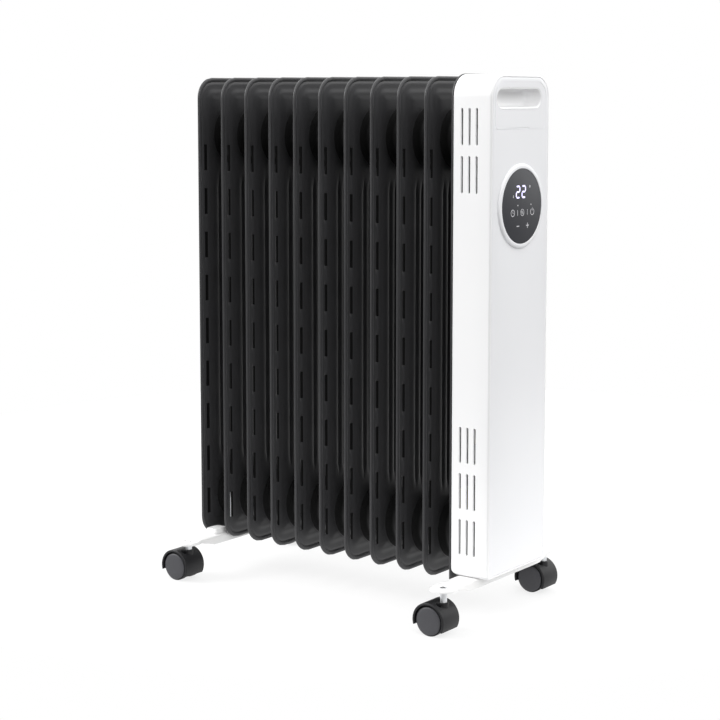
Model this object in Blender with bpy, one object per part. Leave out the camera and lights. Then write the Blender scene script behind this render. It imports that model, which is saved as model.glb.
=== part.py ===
"""Oil filled radiator heater: ten welded steel fins on two header tubes, a control box
at one end, and two stamped feet on four twin-wheel casters.

Frame: metres, +Z up, +X along the stack of fins towards the control box, -Y the front.
The origin is on the floor, under the middle of the whole object.
"""

import math

import bmesh
import bpy
from mathutils import Matrix, Vector

# Clearances, and settings that every piece shares
GAP = 0.0003
RUN_GAP = 0.0003
CUT_REACH = 0.01
CUT_OVER = 0.001
LEAST_CORNER = 0.0008
MERGE = 1e-6
SHARP_ANGLE = 35
ROUND_STEPS = 16
BEND_STEPS = 12

# Fin stack
FIN_COUNT = 10
FIN_PITCH = 0.0388
FIN_DEPTH = 0.127
FIN_HEIGHT = 0.5935
FIN_CORNER = 0.026
RIM_WIDTH = 0.005
RIM_THICK = 0.004
RIM_STEP = 0.001
WEB_THICK = 0.0018
CHANNEL_MARGIN = 0.0165
CHANNEL_THICK = 0.009
EMBOSS_RUN = 0.003
CORNER_STEPS = 3

# Air slots along both long edges of a fin
SLOT_LENGTH = 0.033
SLOT_WIDTH = 0.003
SLOT_PITCH = 0.0559
SLOT_INSET = 0.0115
SLOT_BOTTOM_MARGIN = 0.0285
SLOT_TOP_MARGIN = 0.080

# Header tubes, the welded necks that join the fins and hold the oil
NECK_RADIUS = 0.0265
NECK_WALL = 0.005
UPPER_NECK_DROP = 0.073
LOWER_NECK_RISE = 0.053
NECK_END = 0.006
NECK_STEPS = 16

# Control box
SHIELD_GAP = 0.0375
SHIELD_THICK = 0.002
SHIELD_PROUD = 0.0008
SHIELD_RISE = 0.006
SHIELD_BOTTOM_CORNER = 0.001
BOX_THICK = 0.051
BOX_DEPTH = 0.1274
BOX_RISE = 0.013
BOX_OVER_FINS = 0.0017
BOX_TOP_CORNER = 0.026
BOX_BOTTOM_CORNER = 0.005
BOX_CORNER_STEPS = 5
BOX_WALL = 0.003
BOX_EDGE = 0.0028
COVER_THICK = 0.0025

# Vents in both side walls of the box
VENT_COLUMNS = 3
VENT_WIDTH = 0.0032
VENT_COLUMN_PITCH = 0.0099
VENT_FIRST_COLUMN = 0.0115
VENT_LENGTH = 0.0425
VENT_ROW_PITCH = 0.0544
VENT_TOP_ROWS = 2
VENT_TOP_DROP = 0.0382
VENT_BOTTOM_ROWS = 3
VENT_BOTTOM_RISE = 0.0255

# Grip recess
GRIP_END_MARGIN = 0.0162
GRIP_LENGTH = BOX_DEPTH - 2 * GRIP_END_MARGIN
GRIP_HEIGHT = 0.0206
GRIP_DROP = 0.0275
GRIP_SIDE = -0.004
GRIP_DEPTH = 0.026
GRIP_WALL = 0.002

# Touch panel
PANEL_RADIUS = 0.0434
PANEL_DROP = 0.1514
PANEL_STEPS = 30
PANEL_THICK = 0.002
BEZEL_RADIUS = PANEL_RADIUS + 0.0058
BEZEL_TOP_RADIUS = PANEL_RADIUS + 0.0028
BEZEL_RISE = 0.0025
BEZEL_SLOPE = 0.0006
BEZEL_SHOULDER = 0.0014
BEZEL_WALL = 0.0018
BEZEL_COLLAR = 0.0055
BEZEL_LEDGE = 0.003
BOARD_THICK = 0.0016
MODULE_LENGTH = 0.034
MODULE_HEIGHT = 0.020

# Heating element in the lower header
ROD_RADIUS = 0.004
ROD_SPREAD = 0.009
ROD_LENGTH = 0.330
ROD_TAIL = 0.008
FLANGE_RADIUS = NECK_RADIUS + 0.0035
FLANGE_THICK = 0.005
GASKET_THICK = 0.0015

# Parts inside the control box
POWER_BOARD_DEPTH = 0.084
POWER_BOARD_HEIGHT = 0.120
POWER_BOARD_RISE = 0.203
CARRIER_BORDER = 0.004
CARRIER_THICK = 0.003
RELAY_SIZE = (0.015, 0.020, 0.028)
CUTOUT_RADIUS = 0.009
CUTOUT_HEIGHT = 0.008
CUTOUT_RISE = 0.118
TERMINAL_SIZE = (0.016, 0.036, 0.018)
TERMINAL_RISE = 0.148
SENSOR_RADIUS = 0.003
SENSOR_LENGTH = 0.012
SENSOR_RISE = 0.016

# Tip-over switch: a weight on a pin in a bracket
TILT_Y = -0.040
TILT_RISE = 0.085
TILT_WIDTH = 0.018
TILT_HEIGHT = 0.030
TILT_DEPTH = 0.015
TILT_WALL = 0.002
TILT_PIN_RADIUS = 0.0015
TILT_PIN_DROP = 0.006
BOB_RADIUS = 0.005
BOB_THICK = 0.008
BOB_ARM = 0.014
BOB_EYE_WALL = 0.002
BOB_ARM_HALF = 0.0015
BOB_SIDE_GAP = 0.001

# Cable gland in the heat shield
GLAND_RADIUS = 0.0075
GLAND_BORE = 0.0036
GLAND_NOSE = 0.006
GLAND_FLANGE = 0.0105
GLAND_FLANGE_THICK = 0.002
GLAND_OUT = 0.008
GLAND_IN = 0.006
GLAND_SIDE_MARGIN = 0.0157
GLAND_Y = BOX_DEPTH / 2 - GLAND_SIDE_MARGIN
GLAND_RISE = 0.017

# Feet
FOOT_SIDE_GAP = 0.0032
FOOT_WIDTH = FIN_PITCH - RIM_THICK - 2 * FOOT_SIDE_GAP
FOOT_TIP_RADIUS = FOOT_WIDTH / 2 + 0.0023
FOOT_HEIGHT = 0.0105
FOOT_TIP_HEIGHT = 0.005
FOOT_SHEET = 0.0016
FOOT_TAPER_START = 0.079
FOOT_TAPER_RUN = 0.020
FOOT_TIP_STEPS = 10
NEAR_FOOT_INSET = 0.0219
FAR_FOOT_NEST = 0.0065
SADDLE_Y = 0.058
SADDLE_LENGTH = 0.026
SADDLE_WIDTH = 0.020
SADDLE_RISE = 0.0065
SADDLE_LIP = 0.001
FOOT_SCREW_Y = 0.034
SCREW_RADIUS = 0.002
SCREW_HEAD_RADIUS = 0.0045
SCREW_HEAD_HEIGHT = 0.0023
SCREW_LENGTH = 0.010

# U-bolt that ties the far foot to the lower header
BOLT_RADIUS = 0.0025
NUT_RADIUS = 0.0048
NUT_HEIGHT = 0.0055
NUT_WING_SIDE_GAP = 0.0026
NUT_WING_SPAN = FOOT_WIDTH - 2 * (FOOT_SHEET + NUT_WING_SIDE_GAP)
NUT_WING_THICK = 0.0022
NUT_WING_LOW = 0.0004
NUT_WING_HIGH = 0.0012

# Casters
STEM_Y = 0.1115
STEM_RADIUS = 0.004
STEM_COLLAR_RADIUS = 0.007
STEM_COLLAR_HEIGHT = 0.0018
STEM_SEAT = 0.0045
STEM_SHOWN = 0.0109
STEM_STEPS = 14
CASTER_TRAIL = 0.0105
CASTER_WIDTH = 0.034
WHEEL_RADIUS = 0.018
WHEEL_EDGE = 0.0014
WHEEL_STEPS = 24
HOOD_CLEARANCE = 0.0008
HOOD_WALL = 0.0028
HOOD_LOW_ANGLE = -30
HOOD_HIGH_ANGLE = 197
HOOD_STEPS = 15
WEB_INSET_ANGLE = 4
WEB_WIDTH = 0.0124
AXLE_RADIUS = 0.002
AXLE_HUB_RADIUS = 0.006
AXLE_HUB_STEPS = 8
AXLE_END = 0.0017

# Placing along X, worked out so that the whole object is centred on the origin
HOOD_RADIUS = WHEEL_RADIUS + HOOD_CLEARANCE + HOOD_WALL
LEFT_OF_SHIELD = SHIELD_GAP + (FIN_COUNT - 1.5) * FIN_PITCH + CASTER_TRAIL + HOOD_RADIUS
RIGHT_OF_SHIELD = SHIELD_THICK + GAP + BOX_THICK + BEZEL_RISE
SHIELD_X = (LEFT_OF_SHIELD - RIGHT_OF_SHIELD) / 2
BOX_X = SHIELD_X + SHIELD_THICK + GAP
FACE_X = BOX_X + BOX_THICK
LAST_FIN_X = SHIELD_X - SHIELD_GAP
FIRST_FIN_X = LAST_FIN_X - (FIN_COUNT - 1) * FIN_PITCH
NEAR_FOOT_X = BOX_X + NEAR_FOOT_INSET
FAR_FOOT_X = FIRST_FIN_X + FIN_PITCH / 2

# Placing in Z, from the floor up through the casters and the feet
STEM_BOTTOM_Z = WHEEL_RADIUS + STEM_SEAT
FAR_FOOT_TOP_Z = WHEEL_RADIUS + HOOD_RADIUS + STEM_SHOWN
FIN_BASE_Z = FAR_FOOT_TOP_Z - FAR_FOOT_NEST
FIN_TOP_Z = FIN_BASE_Z + FIN_HEIGHT
SHIELD_BASE_Z = FIN_BASE_Z + SHIELD_RISE
BOX_BASE_Z = FIN_BASE_Z + BOX_RISE
BOX_TOP_Z = FIN_TOP_Z + BOX_OVER_FINS
UPPER_NECK_Z = FIN_TOP_Z - UPPER_NECK_DROP
LOWER_NECK_Z = FIN_BASE_Z + LOWER_NECK_RISE
NEAR_FOOT_TOP_Z = BOX_BASE_Z - GAP
PANEL_Z = BOX_TOP_Z - PANEL_DROP
GRIP_Z = BOX_TOP_Z - GRIP_DROP
POWER_BOARD_Z = BOX_BASE_Z + POWER_BOARD_RISE
TERMINAL_Z = BOX_BASE_Z + TERMINAL_RISE
CUTOUT_Z = BOX_BASE_Z + CUTOUT_RISE
SENSOR_Z = BOX_BASE_Z + SENSOR_RISE
TILT_Z = BOX_BASE_Z + TILT_RISE
GLAND_Z = BOX_BASE_Z + GLAND_RISE

AROUND = {"X": Matrix.Rotation(math.pi / 2, 4, "Y"), "Y": Matrix.Rotation(-math.pi / 2, 4, "X"),
          "Z": Matrix.Identity(4)}


def clear_scene():
    for old in list(bpy.data.objects):
        bpy.data.objects.remove(old)


def finish(name, color, roughness, metallic=0.0):
    """A plain Principled BSDF material."""
    made = bpy.data.materials.new(name)
    made.use_nodes = True
    shader = made.node_tree.nodes["Principled BSDF"]
    shader.inputs["Base Color"].default_value = (*color, 1)
    shader.inputs["Roughness"].default_value = roughness
    shader.inputs["Metallic"].default_value = metallic
    return made


def object_from(name, shape, material, origin=(0, 0, 0)):
    """Turns a bmesh, built around its own origin, into a linked object at a place."""
    bmesh.ops.recalc_face_normals(shape, faces=shape.faces[:])
    mesh = bpy.data.meshes.new(name)
    shape.to_mesh(mesh)
    shape.free()
    mesh.shade_smooth()
    mesh.set_sharp_from_angle(angle=math.radians(SHARP_ANGLE))
    return place(name, mesh, material, origin)


def place(name, mesh, material, origin):
    made = bpy.data.objects.new(name, mesh)
    if not mesh.materials:
        mesh.materials.append(material)
    made.location = origin
    bpy.context.scene.collection.objects.link(made)
    return made


def baked(source, name):
    """The mesh of an object with its modifiers applied. The object and its cutters go."""
    graph = bpy.context.evaluated_depsgraph_get()
    mesh = bpy.data.meshes.new_from_object(source.evaluated_get(graph))
    mesh.name = name
    for modifier in source.modifiers:
        bpy.data.objects.remove(modifier.object)
    bpy.data.objects.remove(source)
    return mesh


def combine(target, tool, operation):
    """Cuts a tool from the target, or joins it on, by an exact Boolean."""
    tool.hide_render = True
    tool.display_type = "WIRE"
    step = target.modifiers.new(tool.name, "BOOLEAN")
    step.operation = operation
    step.solver = "EXACT"
    step.object = tool


def cut(target, tool):
    combine(target, tool, "DIFFERENCE")


def join(target, tool):
    combine(target, tool, "UNION")


def add_box(shape, low, high):
    size = Vector(high) - Vector(low)
    middle = (Vector(high) + Vector(low)) / 2
    bmesh.ops.create_cube(shape, size=1, matrix=Matrix.Translation(middle) @ Matrix.Diagonal((*size, 1)))


def box(name, low, high, material, origin=(0, 0, 0)):
    shape = bmesh.new()
    add_box(shape, low, high)
    return object_from(name, shape, material, origin)


def add_loft(shape, rings, closed=False):
    """Skins a list of rings of equal length. Open lofts get an end cap on both ends."""
    loops = [[shape.verts.new(point) for point in ring] for ring in rings]
    count = len(loops[0])
    pairs = list(zip(loops, loops[1:] + loops[:1])) if closed else list(zip(loops, loops[1:]))
    for first, second in pairs:
        for i in range(count):
            j = (i + 1) % count
            shape.faces.new((first[i], first[j], second[j], second[i]))
    if not closed:
        shape.faces.new(loops[0])
        shape.faces.new(loops[-1])


def loft(name, rings, material, origin=(0, 0, 0), closed=False):
    shape = bmesh.new()
    add_loft(shape, rings, closed)
    return object_from(name, shape, material, origin)


def turned(name, profile, axis, material, origin=(0, 0, 0), steps=ROUND_STEPS):
    """Spins a profile of (radius, height) points about an axis. It closes on itself,
    or on the axis where it starts and ends at radius zero."""
    shape = bmesh.new()
    points = [shape.verts.new((radius, 0, height)) for radius, height in profile]
    edges = [shape.edges.new(pair) for pair in zip(points, points[1:])]
    if profile[0][0] > 0:
        edges.append(shape.edges.new((points[-1], points[0])))
    bmesh.ops.spin(shape, geom=points + edges, cent=(0, 0, 0), axis=(0, 0, 1),
                   angle=2 * math.pi, steps=steps, use_merge=True)
    bmesh.ops.remove_doubles(shape, verts=shape.verts[:], dist=MERGE)
    shape.transform(AROUND[axis])
    return object_from(name, shape, material, origin)


def rod(name, radius, low, high, axis, material, origin=(0, 0, 0), steps=ROUND_STEPS):
    """A plain cylinder from low to high along an axis."""
    profile = [(0, low), (radius, low), (radius, high), (0, high)]
    return turned(name, profile, axis, material, origin, steps)


def arc(center, radius, start, end, steps):
    """Points in a plane along an arc, angles in degrees."""
    angles = [math.radians(start + (end - start) * i / steps) for i in range(steps + 1)]
    return [(center[0] + radius * math.cos(a), center[1] + radius * math.sin(a)) for a in angles]


def rounded_outline(width, low, high, low_corner, high_corner, inset=0.0, steps=CORNER_STEPS):
    """Outline in (y, z) of an upright rounded rectangle, drawn in by an inset."""
    half = width / 2 - inset
    low += inset
    high -= inset
    small = max(low_corner - inset, LEAST_CORNER)
    large = max(high_corner - inset, LEAST_CORNER)
    outline = arc((half - small, low + small), small, -90, 0, steps)
    outline += arc((half - large, high - large), large, 0, 90, steps)
    outline += arc((large - half, high - large), large, 90, 180, steps)
    outline += arc((small - half, low + small), small, 180, 270, steps)
    return outline


def stadium(length, height, steps=6):
    """Outline in (y, z) of a slot with round ends, centred on zero."""
    radius = height / 2
    reach = length / 2 - radius
    return arc((reach, 0), radius, -90, 90, steps) + arc((-reach, 0), radius, 90, 270, steps)


def upright(outline, x):
    """An outline in (y, z) set at a distance along X."""
    return [(x, y, z) for y, z in outline]


def plate(name, outline, x_low, x_high, material, origin=(0, 0, 0)):
    return loft(name, [upright(outline, x_low), upright(outline, x_high)], material, origin)


def tube_path(name, points, radius, material):
    """A round bar that follows a list of points."""
    curve = bpy.data.curves.new(name, "CURVE")
    curve.dimensions = "3D"
    curve.bevel_depth = radius
    curve.bevel_resolution = 2
    curve.use_fill_caps = True
    spline = curve.splines.new("POLY")
    spline.points.add(len(points) - 1)
    for target, point in zip(spline.points, points):
        target.co = (*point, 1)
    curve.materials.append(material)
    made = bpy.data.objects.new(name, curve)
    bpy.context.scene.collection.objects.link(made)
    return made


# Fins

def fin_outline(inset):
    return rounded_outline(FIN_DEPTH, 0, FIN_HEIGHT, FIN_CORNER, FIN_CORNER, inset)


def fin_mesh(material):
    """Two pressed sheets welded to one fin: a rolled rim, a flat web and a raised oil
    channel, with a hole for each header and a row of air slots along each long edge."""
    steps_out = [
        (CHANNEL_MARGIN + EMBOSS_RUN, CHANNEL_THICK / 2),
        (CHANNEL_MARGIN, WEB_THICK / 2),
        (RIM_WIDTH + RIM_STEP, WEB_THICK / 2),
        (RIM_WIDTH, RIM_THICK / 2),
        (0, RIM_THICK / 2),
    ]
    rings = [upright(fin_outline(inset), x) for inset, x in steps_out]
    rings += [upright(fin_outline(inset), -x) for inset, x in reversed(steps_out)]
    blank = loft("fin_blank", rings, material)
    through = CHANNEL_THICK
    for height in (UPPER_NECK_Z - FIN_BASE_Z, LOWER_NECK_Z - FIN_BASE_Z):
        hole = rod("neck_hole", NECK_RADIUS + GAP, -through, through, "X", material,
                   (0, 0, height), NECK_STEPS)
        cut(blank, hole)
    slots = bmesh.new()
    slot_y = FIN_DEPTH / 2 - SLOT_INSET
    room = FIN_HEIGHT - SLOT_BOTTOM_MARGIN - SLOT_TOP_MARGIN - SLOT_LENGTH
    for i in range(int(room / SLOT_PITCH) + 1):
        low = SLOT_BOTTOM_MARGIN + i * SLOT_PITCH
        for side in (-slot_y, slot_y):
            near = side - SLOT_WIDTH / 2
            add_box(slots, (-through, near, low), (through, near + SLOT_WIDTH, low + SLOT_LENGTH))
    cut(blank, object_from("slot_cutter", slots, material))
    return baked(blank, "fin")


def build_fins(material):
    mesh = fin_mesh(material)
    for i in range(FIN_COUNT):
        place(f"fin_{i + 1:02d}", mesh, material, (FIRST_FIN_X + i * FIN_PITCH, 0, FIN_BASE_Z))


def build_headers(material):
    """Two tubes through all the fins. Each is shut at the far end and open in the box."""
    start = FIRST_FIN_X - CHANNEL_THICK / 2 - NECK_END
    end = BOX_X + NECK_END
    bore = NECK_RADIUS - NECK_WALL
    profile = [
        (0, start),
        (NECK_RADIUS, start),
        (NECK_RADIUS, end),
        (bore, end),
        (bore, start + NECK_WALL),
        (0, start + NECK_WALL),
    ]
    turned("upper_header", profile, "X", material, (0, 0, UPPER_NECK_Z), NECK_STEPS)
    turned("lower_header", profile, "X", material, (0, 0, LOWER_NECK_Z), NECK_STEPS)
    plug = [
        (0, end - NECK_END),
        (bore - GAP, end - NECK_END),
        (bore - GAP, end + GAP),
        (NECK_RADIUS, end + GAP),
        (NECK_RADIUS, end + GASKET_THICK),
        (0, end + GASKET_THICK),
    ]
    turned("fill_plug", plug, "X", material, (0, 0, UPPER_NECK_Z), NECK_STEPS)


def build_element(steel, rubber):
    """A U-shaped heating rod that enters the lower header through a flange."""
    end = BOX_X + NECK_END
    bore = NECK_RADIUS - NECK_WALL
    gasket_x = end + GAP
    flange_x = gasket_x + GASKET_THICK + GAP
    gasket = [(bore, 0), (NECK_RADIUS, 0), (NECK_RADIUS, GASKET_THICK), (bore, GASKET_THICK)]
    turned("element_gasket", gasket, "X", rubber, (gasket_x, 0, LOWER_NECK_Z))
    flange = rod("element_flange", FLANGE_RADIUS, 0, FLANGE_THICK, "X", steel, (flange_x, 0, LOWER_NECK_Z))
    for side in (-ROD_SPREAD, ROD_SPREAD):
        hole = rod("rod_hole", ROD_RADIUS + GAP, -FLANGE_THICK, 2 * FLANGE_THICK, "X", steel,
                   (flange_x, side, LOWER_NECK_Z))
        cut(flange, hole)
    tail = flange_x + FLANGE_THICK + ROD_TAIL
    bend = flange_x - ROD_LENGTH
    path = [(tail, -ROD_SPREAD, LOWER_NECK_Z)]
    turn = arc((0, 0), ROD_SPREAD, -90, -270, BEND_STEPS)
    path += [(bend + across, along, LOWER_NECK_Z) for across, along in turn]
    path += [(tail, ROD_SPREAD, LOWER_NECK_Z)]
    tube_path("heating_element", path, ROD_RADIUS, steel)


# Control box

def box_outline(inset):
    return rounded_outline(BOX_DEPTH, BOX_BASE_Z, BOX_TOP_Z, BOX_BOTTOM_CORNER, BOX_TOP_CORNER,
                           inset, BOX_CORNER_STEPS)


def build_shield(material):
    """The black sheet between the fins and the control box."""
    outline = rounded_outline(BOX_DEPTH + 2 * SHIELD_PROUD, SHIELD_BASE_Z, BOX_TOP_Z + SHIELD_PROUD,
                              SHIELD_BOTTOM_CORNER, BOX_TOP_CORNER + SHIELD_PROUD, 0, BOX_CORNER_STEPS)
    shield = plate("rear_shield", outline, SHIELD_X, SHIELD_X + SHIELD_THICK, material)
    holes = [
        (NECK_RADIUS + GAP, 0, UPPER_NECK_Z, NECK_STEPS),
        (NECK_RADIUS + GAP, 0, LOWER_NECK_Z, NECK_STEPS),
        (GLAND_RADIUS + GAP, GLAND_Y, GLAND_Z, ROUND_STEPS),
    ]
    for radius, y, z, steps in holes:
        cut(shield, rod("shield_hole", radius, -CUT_REACH, CUT_REACH, "X", material,
                        (SHIELD_X, y, z), steps))


def vent_rows():
    """The lower end of each row of vents."""
    top = [BOX_TOP_Z - VENT_TOP_DROP - VENT_LENGTH - i * VENT_ROW_PITCH for i in range(VENT_TOP_ROWS)]
    bottom = [BOX_BASE_Z + VENT_BOTTOM_RISE + i * VENT_ROW_PITCH for i in range(VENT_BOTTOM_ROWS)]
    return top + bottom


def build_shell(material):
    """The white wrap: four walls, a soft front edge and vents in both side walls."""
    middle = BOX_EDGE * (1 - math.cos(math.pi / 4))
    front = [
        (0, FACE_X - BOX_EDGE),
        (middle, FACE_X - middle),
        (BOX_EDGE, FACE_X),
        (BOX_WALL, FACE_X),
        (BOX_WALL, BOX_X),
        (0, BOX_X),
    ]
    shell = loft("box_shell", [upright(box_outline(inset), x) for inset, x in front], material, closed=True)
    vents = bmesh.new()
    for row in vent_rows():
        for i in range(VENT_COLUMNS):
            left = BOX_X + VENT_FIRST_COLUMN + i * VENT_COLUMN_PITCH - VENT_WIDTH / 2
            add_box(vents, (left, -BOX_DEPTH, row), (left + VENT_WIDTH, BOX_DEPTH, row + VENT_LENGTH))
    cut(shell, object_from("vent_cutter", vents, material))
    for side in (-FOOT_SCREW_Y, FOOT_SCREW_Y):
        hole = rod("shell_screw_hole", SCREW_RADIUS + GAP, -CUT_REACH, CUT_REACH, "Z", material,
                   (NEAR_FOOT_X, side, BOX_BASE_Z))
        cut(shell, hole)


def build_cover(material):
    """The end cover, set into the wrap, with the grip opening and the panel opening."""
    outline = box_outline(BOX_WALL + GAP)
    cover = plate("end_cover", outline, FACE_X - COVER_THICK, FACE_X, material)
    grip = stadium(GRIP_LENGTH + 2 * (GRIP_WALL + GAP), GRIP_HEIGHT + 2 * (GRIP_WALL + GAP))
    cut(cover, plate("grip_cutter", grip, -CUT_REACH, CUT_REACH, material, (FACE_X, GRIP_SIDE, GRIP_Z)))
    opening = PANEL_RADIUS + BEZEL_WALL + 2 * GAP
    cut(cover, rod("panel_cutter", opening, -CUT_REACH, CUT_REACH, "X", material,
                   (FACE_X, 0, PANEL_Z), PANEL_STEPS))


def build_grip(material):
    """The cup that fingers reach into to lift the heater."""
    outer = stadium(GRIP_LENGTH + 2 * GRIP_WALL, GRIP_HEIGHT + 2 * GRIP_WALL)
    inner = stadium(GRIP_LENGTH, GRIP_HEIGHT)
    rings = [
        upright(outer, -GRIP_DEPTH - GRIP_WALL),
        upright(outer, 0),
        upright(inner, 0),
        upright(inner, -GRIP_DEPTH),
    ]
    loft("grip_cup", rings, material, (FACE_X, GRIP_SIDE, GRIP_Z))


def build_panel(white, glass, board, dark):
    """Bezel, glass touch panel, and the display behind it on its circuit board."""
    inner = PANEL_RADIUS + GAP
    outer = inner + BEZEL_WALL
    seat = BEZEL_RISE - PANEL_THICK - 2 * GAP
    bezel = [
        (inner, BEZEL_RISE),
        (BEZEL_TOP_RADIUS, BEZEL_RISE),
        (BEZEL_RADIUS - BEZEL_SLOPE, BEZEL_SHOULDER),
        (BEZEL_RADIUS, GAP),
        (outer, GAP),
        (outer, -BEZEL_COLLAR),
        (inner - BEZEL_LEDGE, -BEZEL_COLLAR),
        (inner - BEZEL_LEDGE, seat),
        (inner, seat),
    ]
    center = (FACE_X, 0, PANEL_Z)
    turned("panel_bezel", bezel[::-1], "X", white, center, PANEL_STEPS)
    rod("touch_panel", PANEL_RADIUS, seat + GAP, seat + GAP + PANEL_THICK, "X", glass, center, PANEL_STEPS)
    back = -BEZEL_COLLAR - GAP
    rod("display_board", PANEL_RADIUS, back - BOARD_THICK, back, "X", board, center, PANEL_STEPS)
    box("display_module", (back + GAP, -MODULE_LENGTH / 2, 0), (seat, MODULE_LENGTH / 2, MODULE_HEIGHT),
        dark, center)


def build_electronics(board, carrier_color, dark, steel, brass):
    """The power board on its carrier, the relay, the terminals and the thermal parts."""
    half = POWER_BOARD_DEPTH / 2
    border = half + CARRIER_BORDER
    carrier_x = BOX_X + GAP
    box("board_carrier", (0, -border, -CARRIER_BORDER),
        (CARRIER_THICK, border, POWER_BOARD_HEIGHT + CARRIER_BORDER), carrier_color,
        (carrier_x, 0, POWER_BOARD_Z))
    board_x = carrier_x + CARRIER_THICK + GAP
    box("power_board", (0, -half, 0), (BOARD_THICK, half, POWER_BOARD_HEIGHT), board,
        (board_x, 0, POWER_BOARD_Z))
    relay_x = board_x + BOARD_THICK + GAP
    box("relay", (0, 0, 0), RELAY_SIZE, dark, (relay_x, -half / 2, POWER_BOARD_Z + POWER_BOARD_HEIGHT / 3))
    terminal_y = -TERMINAL_SIZE[1] / 2
    box("terminal_block", (0, 0, 0), TERMINAL_SIZE, carrier_color, (carrier_x, terminal_y, TERMINAL_Z))
    rod("thermal_cutout", CUTOUT_RADIUS, 0, CUTOUT_HEIGHT, "X", steel, (carrier_x, 0, CUTOUT_Z))
    rod("room_sensor", SENSOR_RADIUS, 0, SENSOR_LENGTH, "X", brass, (carrier_x, -GLAND_Y, SENSOR_Z))


def build_tilt_switch(carrier_color, brass):
    """A weight that hangs on the pin of its bracket and opens the switch in a fall."""
    base_x = BOX_X + GAP
    top = TILT_HEIGHT / 2
    half = TILT_WIDTH / 2
    frame = box("tilt_bracket", (0, -half, -top), (TILT_WALL, half, top), carrier_color,
                (base_x, TILT_Y, TILT_Z))
    pin_z = TILT_Z + top - TILT_PIN_DROP
    pin = rod("tilt_pin", TILT_PIN_RADIUS, TILT_WALL / 2, TILT_DEPTH, "X", carrier_color,
              (base_x, TILT_Y, pin_z))
    join(frame, pin)
    bob = bmesh.new()
    eye = TILT_PIN_RADIUS + RUN_GAP
    inner = arc((0, 0), eye, 0, 360, ROUND_STEPS)[:-1]
    outer = arc((0, 0), eye + BOB_EYE_WALL, 0, 360, ROUND_STEPS)[:-1]
    thick = BOB_THICK / 2
    rings = [upright(inner, -thick), upright(outer, -thick), upright(outer, thick), upright(inner, thick)]
    add_loft(bob, rings, closed=True)
    middle_x = base_x + TILT_WALL + BOB_SIDE_GAP + thick
    pendulum = object_from("tilt_pendulum", bob, brass, (middle_x, TILT_Y, pin_z))
    weight = rod("tilt_weight", BOB_RADIUS, -thick, thick, "X", brass, (middle_x, TILT_Y, pin_z - BOB_ARM))
    join(pendulum, weight)
    arm = box("tilt_arm", (-BOB_ARM_HALF, -BOB_ARM_HALF, -BOB_ARM),
              (BOB_ARM_HALF, BOB_ARM_HALF, -eye - BOB_EYE_WALL / 2), brass, (middle_x, TILT_Y, pin_z))
    join(pendulum, arm)


def build_gland(rubber):
    """A rubber gland in the shield, where a supply cord would enter."""
    profile = [
        (GLAND_BORE, -GLAND_OUT),
        (GLAND_NOSE, -GLAND_OUT),
        (GLAND_FLANGE, -GAP - GLAND_FLANGE_THICK),
        (GLAND_FLANGE, -GAP),
        (GLAND_RADIUS, -GAP),
        (GLAND_RADIUS, GLAND_IN),
        (GLAND_BORE, GLAND_IN),
    ]
    turned("cord_gland", profile, "X", rubber, (SHIELD_X, GLAND_Y, GLAND_Z))


# Feet

def foot_outline(inset):
    """Outline in (x, y) of a foot: a strip with a round paddle at each end."""
    half = FOOT_WIDTH / 2 - inset
    radius = FOOT_TIP_RADIUS - inset
    meet = math.degrees(math.asin(half / radius))
    front = arc((0, -STEM_Y), radius, 90 + meet, 450 - meet, FOOT_TIP_STEPS)
    back = arc((0, STEM_Y), radius, meet - 90, 270 - meet, FOOT_TIP_STEPS)
    return front + back


def foot_blank(name, top, material):
    """A stamped channel, open below, whose flanges run shallow towards the tips."""
    low = -FOOT_HEIGHT
    outer = [[(x, y, z) for x, y in foot_outline(0)] for z in (low, 0)]
    foot = loft(name, outer, material, (0, 0, top))
    below = low - CUT_OVER
    inner = [[(x, y, z) for x, y in foot_outline(FOOT_SHEET)] for z in (below, -FOOT_SHEET)]
    cut(foot, loft(f"{name}_hollow", inner, material, (0, 0, top)))
    shallow = -FOOT_TIP_HEIGHT
    far = STEM_Y + 2 * FOOT_TIP_RADIUS
    taper_end = FOOT_TAPER_START + FOOT_TAPER_RUN
    for side in (-1, 1):
        wedge = [
            (FOOT_TAPER_START * side, below),
            (FOOT_TAPER_START * side, low),
            (taper_end * side, shallow),
            (far * side, shallow),
            (far * side, below),
        ]
        cut(foot, plate(f"{name}_taper", wedge, -FOOT_WIDTH, FOOT_WIDTH, material, (0, 0, top)))
        hole = rod(f"{name}_stem_hole", STEM_RADIUS + GAP, -CUT_REACH, CUT_REACH, "Z", material,
                   (0, STEM_Y * side, top), STEM_STEPS)
        cut(foot, hole)
    return foot


def move_foot(foot, x):
    """Slides a foot and its cutters to their place along X."""
    foot.location.x = x
    for modifier in foot.modifiers:
        modifier.object.location.x = x


def build_near_foot(white, steel):
    foot = foot_blank("foot_near", NEAR_FOOT_TOP_Z, white)
    for name, side in (("front", -FOOT_SCREW_Y), ("back", FOOT_SCREW_Y)):
        hole = rod("foot_screw_hole", SCREW_RADIUS + GAP, -CUT_REACH, CUT_REACH, "Z", white,
                   (0, side, NEAR_FOOT_TOP_Z))
        cut(foot, hole)
        head = NEAR_FOOT_TOP_Z - FOOT_SHEET - GAP
        profile = [
            (0, head - SCREW_HEAD_HEIGHT),
            (SCREW_HEAD_RADIUS, head - SCREW_HEAD_HEIGHT),
            (SCREW_HEAD_RADIUS, head),
            (SCREW_RADIUS, head),
            (SCREW_RADIUS, head + SCREW_LENGTH),
            (0, head + SCREW_LENGTH),
        ]
        turned(f"foot_screw_{name}", profile, "Z", steel, (NEAR_FOOT_X, side, 0))
    move_foot(foot, NEAR_FOOT_X)


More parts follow.
